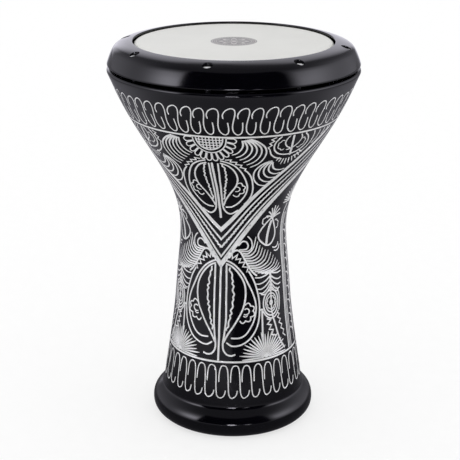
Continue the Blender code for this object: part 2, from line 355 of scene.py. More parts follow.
def small_loop(centre, wide, tall, count):
    """An ellipse with these half axes in millimetres."""
    angles = [2 * math.pi * i / count for i in range(count)]
    return around(centre, [(wide * math.cos(t), tall * math.sin(t)) for t in angles])


# ------------------------------------- the drawing, for half a turn: (deg, z) points
RING_LINES = ((364.2, 2.3), (88.4, 2.2))        # (z, width) of lines right round the drum

HOOK = [(-4.3, 386.6), (-4.6, 391.2), (-3.5, 396), (-1.3, 398.6), (0.35, 397.4),
        (0.95, 392.6), (0.45, 385), (0.15, 378), (0.6, 372.2), (1.9, 368.6), (3.4, 367.7),
        (4.7, 370), (5, 375.4), (4.7, 382.6)]
HAIRPIN = [(-3.9, 64.8), (-3.8, 72), (-3.2, 79.4), (-1.7, 83.4), (0.3, 84.3), (2.4, 82.8),
           (3.6, 78), (4, 69), (4.2, 58), (4.8, 50), (6.6, 46.3), (9.2, 46.9), (11.1, 50),
           (12, 55.2)]


def draw_bands():
    """Upper band of standing hooks, lower band of hairpins."""
    hooks, pins = 27, 18
    for i in range(hooks):
        deg = CENTRE - 88.0 + 180.0 * i / hooks + rng.uniform(-0.35, 0.35)
        lean, tall, wide = rng.uniform(-0.5, 0.5), rng.uniform(-0.5, 0.6), rng.uniform(0.95, 1.05)
        stroke([(deg + x * wide * 0.97 + lean * (z - 383) / 16.0, z + tall * (z - 367) / 31.0)
                for x, z in HOOK], 1.3, hand=0.12)
    for i in range(pins):
        deg = CENTRE - 85.4 + 180.0 * i / pins + rng.uniform(-0.45, 0.45)
        reach = rng.uniform(0.86, 1.05)     # of the tail past x = 4.8
        stroke([(deg + (x if x < 5 else 4.8 + (x - 4.8) * reach), z + rng.uniform(-0.25, 0.25))
                for x, z in HAIRPIN], 1.32, hand=0.12)


# upper and lower border of the chevrons
CHEVRON_IN = [(0, 243.2), (10, 254.6), (20, 268.4), (31, 285.4), (41, 301), (51, 316.2),
              (61, 333.2), (71, 351.6), (77.5, 364), (85, 379), (92, 394)]
CHEVRON_OUT = [(0, 202.4), (12, 221.2), (22, 236), (32, 250.2), (42, 264.3), (52, 277.6),
               (62, 291), (72, 304), (82, 315.6), (90, 323.5)]
# (share of the way from the upper to the lower border, width, wave)
CHEVRON_LINES = ((0.0, 4.3, None), (0.285, 2.0, None), (0.52, 2.0, (0.42, 4.3)),
                 (0.775, 1.9, None), (0.925, 1.2, None), (1.02, 4.4, None))


def draw_chevrons():
    degs = np.linspace(0.0, 90.0, 46)
    inner, outer = hermite(CHEVRON_IN, degs), hermite(CHEVRON_OUT, degs)
    for share, width, wave in CHEVRON_LINES:
        heights = inner + share * (outer - inner)
        arm = [(float(x), float(z)) for x, z in zip(degs, heights) if z < 363.4]
        if wave:
            both(arm, width, wave=wave, raw=True, taper=1.3)
        else:
            once([(-x, z) for x, z in reversed(arm[1:])] + arm, width, corners=True,
                 taper="spread")


def draw_half_sunburst():
    """Hangs from the upper ring line."""
    top = (0.0, 363.4)
    wide, tall, grid = 0.95, 1.14, 15.0     # stretch of its circles, radius of its grid

    def hang(radius, t):
        return wide * radius * math.cos(t), -tall * radius * math.sin(t)

    for radius, width in ((15.4, 1.6), (19.2, 1.5)):
        angles = np.linspace(0.02, math.pi - 0.02, 19)
        once(around(top, [hang(radius, t) for t in angles]), width, hand=0.2)
    for i in range(-3, 4):
        x = i * 3.7
        foot = -tall * math.sqrt(grid**2 - (x / wide)**2)
        once(around(top, [(x, 0.0), (x * 0.99, foot)]), 1.3, hand=0.3)
    for i in range(1, 5):
        y = i * 3.9 - 0.8
        x = wide * math.sqrt(grid**2 - (y / tall)**2)
        once(around(top, [(-x, -y), (0.0, -y - 0.3), (x, -y)]), 1.2, hand=0.3)
    cells = 12
    for i in range(cells):
        start = math.pi * i / cells + 0.026
        end = math.pi * (i + 1) / cells - 0.026
        petal = [(20.1, start), (24, start), (27.4, start + 0.002), (29.3, start + 0.042),
                 (30.2, 0.5 * (start + end)), (29.3, end - 0.042), (27.4, end - 0.002),
                 (24, end), (20.1, end)]
        once(around(top, [hang(radius, t) for radius, t in petal]), 1.35, hand=0.15)


def draw_upper_panel():
    draw_half_sunburst()
    # stem and ribs of the medallion
    once([(-0.9, 331.2), (-0.5, 300), (0.3, 257.6)], 2.5)
    both([(2.9, 330.6), (2.9, 300), (2.7, 286), (2.8, 277.2), (3.8, 269.6), (6.7, 264.9),
          (10.2, 263.5), (13.8, 265.4), (17.4, 268.4)], 1.9)
    both([(4.9, 329.4), (6.6, 325), (7.5, 316), (7.2, 306), (6.3, 298), (5.7, 290),
          (4.6, 281.6)], 1.7, wave=(0.6, 5.6))
    both([(4.2, 331), (9, 327.7), (13, 320.6), (15.3, 312.6), (15.6, 306.2), (14.3, 299),
          (10.4, 291.2), (6.2, 281.8), (3.7, 273.6)], 1.9)
    both([(4.4, 334.2), (9.9, 330.9), (14.7, 325.4), (19.1, 315.4), (22.1, 305.2),
          (23.5, 296.2), (22.6, 288.2), (19.5, 281), (15.6, 275.6), (10.8, 272.4),
          (5.4, 272.2)], 1.8)
    both([(7.6, 335.2), (11.2, 335.6), (10.6, 332.9), (14.6, 332.4), (13.9, 329.6),
          (17.8, 328.4), (16.9, 325.6), (20.6, 323.4), (19.6, 321.2)], 1.4, corners=True)
    both([(19.7, 321.8), (22.6, 317.6), (25.1, 311.8), (27, 303.4), (28.2, 294.4),
          (27.4, 285.4), (25.2, 279.4), (22.2, 275)], 1.8)
    # cloud flower beside the lobe
    both(scallops([(15.2, 302.6), (19.6, 300.4), (20.8, 295), (18, 290), (12.4, 288.2)],
                  0.42, 8), 1.4, corners=True)
    both([(13.4, 299.2), (16.2, 298.8), (17.8, 296), (16.6, 293.2), (14, 292.8)], 1.2, hand=0)
    # fan under the ring line
    first = [(21.2, 361.8), (25.6, 357.8), (29.8, 351.2), (31.6, 343.2), (30.8, 335.6),
             (27.6, 328.8), (23, 325)]
    last = [(17, 360.4), (17.5, 356.4), (17.5, 352.4), (16.8, 348.8), (15.6, 345.6),
            (13.8, 343.2), (11.6, 341.9)]
    for curve in between(first, last, 6):
        both(curve, 2.1, taper=0.6)
    # second, drooping fan
    first = [(37.2, 331.6), (31.8, 328.6), (27.4, 321.6), (26.5, 313.4), (28, 306.4),
             (31.6, 301), (35.6, 298.8), (39.8, 298.6)]
    last = [(37.9, 329.8), (38.2, 326.6), (39, 323.2), (40.2, 320.6), (42.2, 318.8),
            (44.4, 317.8), (46.6, 317.6), (49.4, 318.4)]
    for curve in between(first, last, 5):
        both(curve, 2.1, taper=0.6)
    draw_ring_medallion()
    # curls in the corner under the ring line
    both([(65, 362), (65.8, 355.6), (64.8, 349.8), (62.8, 345.2)], 1.5)
    both([(69.2, 362), (69.6, 358.2), (68.6, 353.6)], 1.5)
    both([(72.8, 362.2), (73.2, 359.6), (72.6, 356.8)], 1.5)


def draw_ring_medallion():
    both([(38.4, 362.4), (36, 357), (35.3, 350.6), (36.8, 344.2), (40.6, 339.6),
          (46.6, 337.8), (52.6, 339.8), (56.6, 345), (57.8, 351.2), (56.2, 357.6),
          (53.2, 362.4)], 1.7)
    both([(35.4, 361.8), (32.8, 359.6), (34.6, 357.2), (32.2, 354.6), (33.8, 352.2),
          (31.8, 349.6), (33.2, 346.8)], 1.3, corners=True)
    both([(33.2, 346.6), (34.8, 340.4), (38.2, 335.6), (42.6, 333.4)], 1.6)
    both([(51.4, 333.8), (56.4, 337.4), (60, 343.4), (61.4, 350.2), (61.2, 357.6),
          (60, 362.4)], 1.6)
    both([(43.6, 362.2), (42, 358.2), (41.8, 353.2), (43.4, 348.8), (46.4, 345.6),
          (48.4, 342.4)], 1.5)
    both([(50.4, 362.2), (51.8, 357.6), (51.4, 352.4), (49.4, 348.2), (46.8, 345.2),
          (43.8, 344)], 1.5)
    both([(45.6, 362.4), (46.6, 352), (48.2, 336.2)], 2.5)
    both(scallops([(41, 356.2), (38.6, 355), (37.8, 350.8), (39.4, 346.6), (42.2, 345.8)],
                  -0.3), 1.1, hand=0)
    both(scallops([(52.4, 356), (54.6, 354.6), (55.2, 350.6), (53.6, 346.8), (50.8, 345.8)],
                  0.3), 1.1, hand=0)
    # rays below it
    for k in range(9):
        t = math.radians(-36 + 100 * k / 8.0)
        far = 0.9 if k < 2 else 1.0
        both(around((46.6, 346.4), [(16.0 * math.sin(t), -16.2 * math.cos(t)),
                                    (22.5 * far * math.sin(t), -25.0 * far * math.cos(t))]),
             1.7, hand=0, taper=0.6)


def draw_lower_panel():
    # stem and nested lobes
    once([(0.1, 202), (-0.3, 150), (-0.4, 89.4)], 2.2)
    both([(5.9, 202.4), (6, 160), (5.9, 140), (4.7, 121.6), (3.5, 110.6), (4, 102.6),
          (7, 97.2), (11.2, 95.9), (15, 97.4)], 2.0)
    both([(8.6, 199.6), (11.2, 190.8), (12.5, 179.2), (13.2, 170), (12.8, 162.6),
          (12, 155.4), (11, 148.4), (9.8, 140.4), (8.1, 131.6), (6.5, 125)], 1.8,
         wave=(0.85, 7.6))
    both([(5.2, 203.8), (11.3, 200.6), (16.9, 194.4), (21.5, 186.4), (24.4, 178.2),
          (25.2, 169.4), (24.6, 160.8), (22.8, 152.2), (20, 145), (16.6, 137.4), (12, 128.4),
          (7.2, 119.4), (3.9, 111)], 2.0)
    both([(4.2, 207.6), (10.3, 204.9), (17, 199.2), (23.4, 190), (28, 179.4), (31.8, 169.6),
          (34.4, 160.8), (35.6, 152.6), (35.2, 144.4), (33, 135.4), (29.2, 127.2),
          (24.4, 120), (18.4, 116.4), (10.6, 116.4)], 1.9)
    both([(28.4, 194.6), (32.8, 185.6), (36, 175), (38.4, 163.2), (39.4, 152.8),
          (39.2, 144.2), (37.4, 132.2), (33.2, 121.8), (26.8, 112.8), (19, 107.9),
          (12, 107.2), (6.6, 111.2)], 1.9)
    # leaf edge running down to the outer lobe
    both([(8.6, 210), (11.6, 214.8), (11.8, 209.6), (17.2, 214.2), (15.4, 208.4),
          (20.4, 209.2), (18.8, 204.6), (24.8, 205.2), (22.4, 199.8), (28.4, 198.8),
          (26.4, 193)], 1.35, corners=True)
    # cloud flower on the inner lobe
    both(scallops([(24.4, 154.6), (30, 153.2), (32.2, 147.2), (29.8, 140.4), (24.6, 136.4),
                   (19.2, 136.8)], 0.46, 8), 1.5, corners=True)
    both([(23.6, 149.6), (26.2, 150.6), (28.4, 148.6), (28, 145.2), (25.6, 143.4),
          (23, 144)], 1.5, hand=0)
    both([(22.4, 142), (24.6, 140.8), (27, 142.4)], 1.2, hand=0)
    draw_feather()
    # drooping palm: ribs that fall away from its spine, (top z, drop, reach in deg)
    for top, drop, half in ((188.4, 3.6, 18.6), (184, 6.6, 18), (179.6, 8.6, 16.6),
                            (175.4, 9.4, 14.6), (171.6, 7.6, 12.4)):
        for side, share in ((-1.0, 1.0), (1.0, 0.9)):
            reach = half * share
            both([(53.6 + side * 0.8, top), (53.6 + side * 0.34 * reach, top - 0.62 * drop),
                  (53.6 + side * 0.70 * reach, top - 0.98 * drop),
                  (53.6 + side * reach, top - drop + 0.9)], 1.8, taper=0.7)
    both([(53.6, 191), (53.6, 178), (53.8, 167)], 3.0)
    draw_egg_medallion()
    draw_half_sun()
    draw_pear()


def draw_feather():
    """Spine, curl and barbs."""
    both([(10.6, 215.4), (14.4, 218.8), (18.4, 218.6), (21.8, 214.4), (25.2, 206.4),
          (29.2, 198.4), (33, 192.4), (37.6, 187.6)], 2.1)
    both([(18.6, 219.4), (26.4, 220), (28.4, 223.8), (26.8, 227.9), (23.5, 229.3),
          (20.6, 227.6), (18, 224.2)], 1.7)
    both([(20.6, 217.6), (28.2, 217.4), (32.2, 220.8), (32.8, 226.8), (31, 231.6),
          (27.6, 235)], 1.5)
    roots = [(22.4, 215), (23.6, 212.2), (24.8, 209.2), (26, 206.2), (27.4, 203.2),
             (28.9, 200.2), (30.6, 197.4), (32.6, 194.8), (35, 192.6), (38.2, 190.8),
             (42.4, 189.4), (46.6, 188.4)]
    tips = [(37.2, 233.4), (39.4, 227.4), (42.2, 222.6), (45.2, 219.2), (48.6, 216.6),
            (52.4, 214.8), (56.2, 211.4), (59.8, 207.4), (63, 203.4), (66, 199.4),
            (68.6, 195.6), (70.6, 191.2)]
    for i, ((x0, z0), (x1, z1)) in enumerate(zip(roots, tips)):
        both([(x0, z0), (x0 + 0.42 * (x1 - x0), z0 - 0.02 * (z1 - z0)),
              (x0 + 0.80 * (x1 - x0), z0 + 0.30 * (z1 - z0)), (x1, z1)],
             2.0 if i < 7 else 1.5, taper=0.5)


def draw_egg_medallion():
    egg = (53.2, 152.6)
    both(small_loop(egg, 11.2, 15.0, 20), 1.8, closed=True)
    both(small_loop(egg, 8.0, 11.2, 20), 1.5, closed=True)
    nodes = small_loop(egg, 5.2, 7.4, 9)
    both(scallops(nodes + nodes[:1], -0.3), 1.2, hand=0)
    both(small_loop(egg, 1.9, 2.6, 10), 1.5, closed=True, hand=0)
    both([(53.4, 168), (53.2, 152), (53.8, 139)], 1.8)
    both([(61.4, 168.4), (64.6, 160.6), (65, 150.6), (63.4, 140.4)], 1.7)
    both([(42, 147), (44.4, 141.4), (48, 136.4), (53, 133.8), (58.4, 135.4), (62.4, 140.4)],
         1.7)
    both([(39.6, 146.8), (43.6, 146.8)], 2.2, hand=0)
    both([(42.2, 146.4), (41.8, 128), (41.4, 110)], 2.2)
    # its stem with notched leaves
    both([(53.8, 139.6), (55.2, 132.6), (57, 124.8), (59.6, 112), (62.8, 102.2),
          (67.2, 93.2)], 2.3)
    both([(47, 134.6), (51.4, 132.2), (47.4, 128.2), (52, 126), (49, 121.6), (53.8, 119.8),
          (51.6, 114.4), (56.8, 112.4)], 1.5, corners=True)
    both([(60.4, 138.6), (63.6, 135.4), (60.6, 132.6), (64.8, 129), (62.2, 125.6),
          (66.4, 122), (64.2, 118.4), (68.6, 114.6), (66.6, 110.6), (70.4, 106.4)], 1.4,
         corners=True)


def draw_half_sun():
    """Rises on the lower ring line."""
    sun, core = (43.9, 89.6), 4.6
    for radius, width in ((1.7, 3.6), (core, 3.0)):
        both(around(sun, [(radius * math.cos(t), 0.4 + radius * math.sin(t))
                          for t in np.linspace(0.0, math.pi, 9)]), width, hand=0)
    for k in range(21):
        t = math.radians(3 + 174 * k / 20.0)
        cos, sin = math.cos(t), math.sin(t)
        reach = 30.5 + 1.8 * math.sin(k * 2.4)
        lean = 3.2 * cos
        both(around(sun, [(core * cos, 0.4 + core * sin),
                          (0.5 * reach * cos - 0.2 * lean, 0.5 * reach * sin + 0.5),
                          (reach * cos + 0.3 * lean, reach * sin * 0.99 - abs(lean) * 0.2)]),
             2.0, hand=0, taper="leaf")


def draw_pear():
    """Pear with its stem, tuft and flowers."""
    both([(56, 253.4), (52.2, 250.6), (48.2, 247), (43.2, 241.4), (39.9, 235.2), (41, 229.4),
          (44.9, 224.6), (49.8, 221.2), (54.8, 221), (59.6, 224.6), (62.6, 230.8),
          (62, 238.4), (59.2, 246.2), (55.6, 253.8)], 2.0)
    both([(50, 222), (51.6, 234), (55.6, 250)], 3.2)
    for x, z in ((47.6, 256.4), (50, 261.6), (53.4, 265.4), (57.6, 267.6), (62, 266),
                 (66, 261.6), (68.4, 255.6)):
        both([(56.8, 252.6), (0.5 * (56.8 + x), 0.5 * (252.6 + z) + 1.0), (x, z)], 1.8)
    both(scallops([(50.4, 253.6), (46.2, 254.2), (44.2, 250.8), (46, 246.8)], -0.32), 1.3,
         hand=0)
    both(scallops([(60.6, 248.2), (64.6, 247), (66.6, 242.6), (64, 238)], 0.32), 1.3, hand=0)
    both([(58.4, 216.8), (62, 215.2), (66, 216.2), (68.6, 220.4)], 1.5)
    both([(60.6, 212.4), (64.4, 211.2), (68.4, 213), (70.8, 217.4)], 1.5)


def draw_side_panel():
    # column of three lines beside the panel
    both([(74.2, 89.6), (74.2, 150), (74.1, 215), (74.6, 244), (76.6, 256), (80.4, 264)], 2.2)
    both([(79.8, 89.6), (79.8, 150), (79.8, 215), (80.2, 238), (82.4, 250), (86, 257)], 1.6)
    both([(76.9, 90.4), (76.9, 150), (76.9, 215), (77.4, 241), (79.4, 252.6)], 1.5)
    # tall leaf on the side's middle line
    once([(90, 92), (90, 180), (90, 262)], 2.4)
    z = 104.0
    while z < 236.0:
        both([(89.6, z), (87, z + 4.4), (84.2, z + 6.6), (81.6, z + 6.8)], 1.6)
        both([(89.8, z + 8.5), (87.8, z + 11.4), (85.6, z + 12.8)], 1.4)
        z += 17.0
    # fan under the crossing of the chevrons, its last ray upright
    for k in range(11):
        t = math.radians(18 + 72 * k / 10.0)
        cos, sin = math.cos(t), math.sin(t)
        reach = 22.0 + 9.0 * sin
        ray = around((90.0, 262.0), [(3.0 * cos, 2.0 + 3.0 * sin),
                                     (0.6 * reach * cos, 0.6 * reach * sin),
                                     (reach * cos, reach * sin - 2.5 * cos)])
        if k == 10:
            once(ray, 1.9)
        else:
            both([(180.0 - x, z) for x, z in ray], 1.8)


draw_bands()
draw_chevrons()
draw_upper_panel()
draw_lower_panel()
draw_side_panel()

# --------------------------------------------------- engraved outside surface
# The half turn is meshed flat: x = deg * PER_DEG, y = length up the profile.
FLAT_R = 80.0
PER_DEG = FLAT_R * DEG
FLAT_LEFT, PERIOD = LEFT * PER_DEG, 180.0 * PER_DEG
FLAT_LOW, FLAT_HIGH = float(length_at(ENGRAVE_LOW)), float(length_at(ENGRAVE_HIGH))
HALF_COLS = COLS // 2
ROWS = 66
DEPTH = 0.28
WIDE = 3.6              # grooves wider than this get a flat floor
WALL = 0.75             # width of a groove's sloping wall
FLAT_SHADING = 0.85     # share of the face normal in a groove's shading


def offset_line(path, offset, mitre):
    """Flat line beside a (deg, z) path, with mitred corners if asked."""
    per_deg = shell_radius(path[:, 1]) * DEG
    y = length_at(path[:, 1])
    if not mitre:
        along_x, along_y = np.gradient(path[:, 0]) * per_deg, np.gradient(y)
        norm = np.maximum(np.hypot(-along_y, along_x), 1e-9)
        return np.stack([(path[:, 0] + -along_y / norm * offset / per_deg) * PER_DEG,
                         y + along_x / norm * offset], axis=1)
    step = np.diff(np.stack([path[:, 0], y], axis=1), axis=0)
    middle = 0.5 * (per_deg[1:] + per_deg[:-1])
    step = unit(step * np.stack([middle, np.ones(len(middle))], axis=1))
    normal = np.stack([-step[:, 1], step[:, 0]], axis=1)
    before, after = np.vstack([normal[:1], normal]), np.vstack([normal, normal[-1:]])
    corner = unit(before + after)
    corner /= np.clip((corner * before).sum(axis=1), 0.42, 1.0)[:, None]
    return np.stack([(path[:, 0] + corner[:, 0] * offset / per_deg) * PER_DEG,
                     y + corner[:, 1] * offset], axis=1)


class Plan:
    """Points and constraint edges of the flat half turn, and the grooves laid on it."""

    def __init__(self):
        self.points, self.edges = [], []
        self.quads = []         # groove corners, one quad per centreline segment
        self.segments = []      # (starts, ends, half widths at starts, at ends)

    def lay(self, rails, centre, half, shift):
        base, count = len(self.points), len(centre)
        for k, rail in enumerate(rails):
            self.points.extend((x + shift, y) for x, y in rail)
            first = base + k * count
            self.edges.extend((first + i, first + i + 1) for i in range(count - 1))
        move = np.array([shift, 0.0])
        middle, left, right = centre + move, rails[0] + move, rails[-1] + move
        self.segments.append((middle[:-1], middle[1:], half[:-1], half[1:]))
        self.quads.append(np.stack([left[:-1], left[1:], right[1:], right[:-1]], axis=1))

    def lay_stroke(self, path, half, closed):
        if closed:
            path = np.vstack([path, path[:1]])
            half = np.append(half, half[0])
        heading = np.arctan2(np.diff(length_at(path[:, 1])),
                             np.diff(path[:, 0]) * shell_radius(path[1:, 1]) * DEG)
        turns = np.abs(np.diff(np.unwrap(heading)))
        mitre = bool(len(turns) and turns.max() > 0.6)
        widest = half.max()
        shares = [-1.0, 0.0, 1.0]
        if widest * 2 > WIDE:
            shares = [-1.0, -(widest - WALL) / widest, (widest - WALL) / widest, 1.0]
        rails = [offset_line(path, half * share, mitre) for share in shares]
        centre = offset_line(path, half * 0.0, mitre)
        for shift in (0.0, -PERIOD, PERIOD):
            low = min(rail[:, 0].min() for rail in rails) + shift
            high = max(rail[:, 0].max() for rail in rails) + shift
            if high > FLAT_LEFT and low < FLAT_LEFT + PERIOD:
                self.lay(rails, centre, half, shift)

    def lay_ring(self, z, half):
        x = FLAT_LEFT + PERIOD * np.arange(HALF_COLS + 1) / HALF_COLS
        y = float(length_at(z))
        rails = [np.stack([x, np.full(len(x), y + half * side)], axis=1)
                 for side in (-1.0, 0.0, 1.0)]
        self.lay(rails, rails[1], np.full(len(x), half), 0.0)

    def add_border(self):
        start = len(self.points)
        for y in (FLAT_LOW, FLAT_HIGH):
            for i in range(HALF_COLS + 1):
                self.points.append((FLAT_LEFT + PERIOD * i / HALF_COLS, y))
        top = start + HALF_COLS + 1
        for i in range(HALF_COLS):
            self.edges.append((start + i, start + i + 1))
            self.edges.append((top + i, top + i + 1))
        for side in (0, HALF_COLS):
            chain = [start + side]
            for row in range(1, ROWS):
                chain.append(len(self.points))
                self.points.append((FLAT_LEFT + PERIOD * side / HALF_COLS,
                                    FLAT_LOW + (FLAT_HIGH - FLAT_LOW) * row / ROWS))
            chain.append(top + side)
            self.edges.extend(zip(chain, chain[1:]))

    def add_filling(self, grooves):
        """Staggered points on the plain surface, clear of the grooves."""
        for row in range(1, ROWS):
            y = FLAT_LOW + (FLAT_HIGH - FLAT_LOW) * row / ROWS
            cols = 52 if float(shell_radius(height_at(y))) < 100 else 76
            for i in range(cols):
                x = FLAT_LEFT + PERIOD * (i + (0.5 if row % 2 else 0.0)) / cols
                if (FLAT_LEFT + 0.5 < x < FLAT_LEFT + PERIOD - 0.5
                        and grooves.find((x, y, 0.0))[2] > 1.3):
                    self.points.append((x, y))


def flat_tree(points):
    tree = KDTree(len(points))
    for i, point in enumerate(points):
        tree.insert((point[0], point[1], 0.0), i)
    tree.balance()
    return tree


def nearest(tree, points, count):
    return np.array([[k for _, k, _ in tree.find_n((x, y, 0.0), count)] for x, y in points])


def triangulate(points, edges, epsilon):
    made = delaunay_2d_cdt([Vector(point) for point in points], edges, [], 0, epsilon)
    return (np.array([tuple(point) for point in made[0]]),
            np.array([face for face in made[2] if len(face) == 3]))


def face_way(points, tris, up):
    """Turns flat triangles to face up or down."""
    first, second, third = (points[tris[:, k]] for k in range(3))
    area = ((second[:, 0] - first[:, 0]) * (third[:, 1] - first[:, 1])
            - (third[:, 0] - first[:, 0]) * (second[:, 1] - first[:, 1]))
    wrong = (area < 0) if up else (area > 0)
    tris[wrong] = tris[wrong][:, ::-1]


def in_grooves(middles, quads, tree):
    """Which triangle middles lie in one of the nearby quads."""
    quad = quads[nearest(tree, middles, 26)]        # (triangle, candidate, corner, xy)
    point = middles[:, None, :]

    def side(start, end):
        return ((end[..., 0] - start[..., 0]) * (point[..., 1] - start[..., 1])
                - (end[..., 1] - start[..., 1]) * (point[..., 0] - start[..., 0]))

    def inside(*picks):
        corners = [quad[:, :, k] for k in picks]
        sides = np.stack([side(corners[k], corners[(k + 1) % 3]) for k in range(3)])
        return (sides >= 0).all(axis=0) | (sides <= 0).all(axis=0)
    return (inside(0, 1, 2) | inside(0, 2, 3)).any(axis=1)


def groove_depth(points, segments, tree):
    starts, ends, start_half, end_half = segments
    near = nearest(tree, points, 20)
    stretch = shell_radius(height_at(points[:, 1])) / FLAT_R
    scale = np.stack([stretch, np.ones(len(points))], axis=1)[:, None, :]
    to_start = (starts[near] - points[:, None]) * scale
    run = (ends[near] - points[:, None]) * scale - to_start
    part = -(to_start * run).sum(axis=-1) / np.maximum((run * run).sum(axis=-1), 1e-12)
    part = np.clip(part, 0, 1)
    gap = to_start + part[..., None] * run
    distance = np.hypot(gap[..., 0], gap[..., 1])
    half = start_half[near] + part * (end_half[near] - start_half[near])
    rise = np.clip((half - distance) / np.minimum(WALL, np.maximum(0.3, half)), 0, 1)
    rise *= np.minimum(1.0, half / 0.6)
    return DEPTH * np.maximum(rise.max(axis=1), 0.12)


def engrave():
    """Flat mesh of half a turn: points, triangles, which of them are cut, depths."""
    plan = Plan()
    for path, half, closed in strokes:
        plan.lay_stroke(path, half, closed)
    for z, width in RING_LINES:
        plan.lay_ring(z, width / 2.0)
    grooves = flat_tree(plan.points)
    plan.add_border()
    plan.add_filling(grooves)
    points, tris = triangulate(plan.points, plan.edges, 1e-4)
    x, y = points[tris].mean(axis=1).T
    inside = (x > FLAT_LEFT) & (x < FLAT_LEFT + PERIOD) & (y > FLAT_LOW) & (y < FLAT_HIGH)
    tris = tris[inside]
    middles = points[tris].mean(axis=1)
    face_way(points, tris, up=True)

    segments = [np.concatenate(parts) for parts in zip(*plan.segments)]
    tree = flat_tree(0.5 * (segments[0] + segments[1]))
    cut = in_grooves(middles, np.concatenate(plan.quads), tree)
    # only points that no plain triangle touches are sunk
    plain, grooved = np.zeros(len(points), bool), np.zeros(len(points), bool)
    plain[tris[~cut].ravel()] = True
    grooved[tris[cut].ravel()] = True
    sunk = np.where(grooved & ~plain)[0]
    depth = np.zeros(len(points))
    depth[sunk] = groove_depth(points[sunk], segments, tree)
    return points, tris, cut, depth


# -------------------------------------------------------------- mesh building
def weld(points, tris, attrs, within=1e-6):
    """Merges equal points (metres), drops collapsed and doubled triangles. The grid is
    shifted between passes, so that no pair is parted by a cell's border."""
    for shift in ((0.0, 0.0, 0.0), (0.5, 0.5, 0.5), (0.25, 0.5, 0.75), (0.5, 0.25, 0.0)):
        key = np.round(points / within + np.array(shift)).astype(np.int64)
        _, first, index = np.unique(key, axis=0, return_index=True, return_inverse=True)
        points, tris = points[first], index.reshape(-1)[tris]
    good = (tris[:, 0] != tris[:, 1]) & (tris[:, 1] != tris[:, 2]) & (tris[:, 0] != tris[:, 2])
    single = np.zeros(len(tris), bool)
    single[np.unique(np.sort(tris, axis=1), axis=0, return_index=True)[1]] = True
    good &= single
    used, tris = np.unique(tris[good], return_inverse=True)
    return points[used], tris.reshape(-1, 3), [attr[good] for attr in attrs]


def drop_flaps(tris, attrs):
    """Removes a stray triangle that hangs on an edge already shared by two others."""
    edges = np.stack([tris[:, [0, 1]], tris[:, [1, 2]], tris[:, [2, 0]]], axis=1)
    edges = np.sort(edges.reshape(-1, 2), axis=1)
    _, index, count = np.unique(edges, axis=0, return_inverse=True, return_counts=True)
    uses = count[index.reshape(-1)].reshape(-1, 3)
    flap = ((uses > 2).sum(axis=1) >= 1) & ((uses == 1).sum(axis=1) >= 2)
    return tris[~flap], [attr[~flap] for attr in attrs]


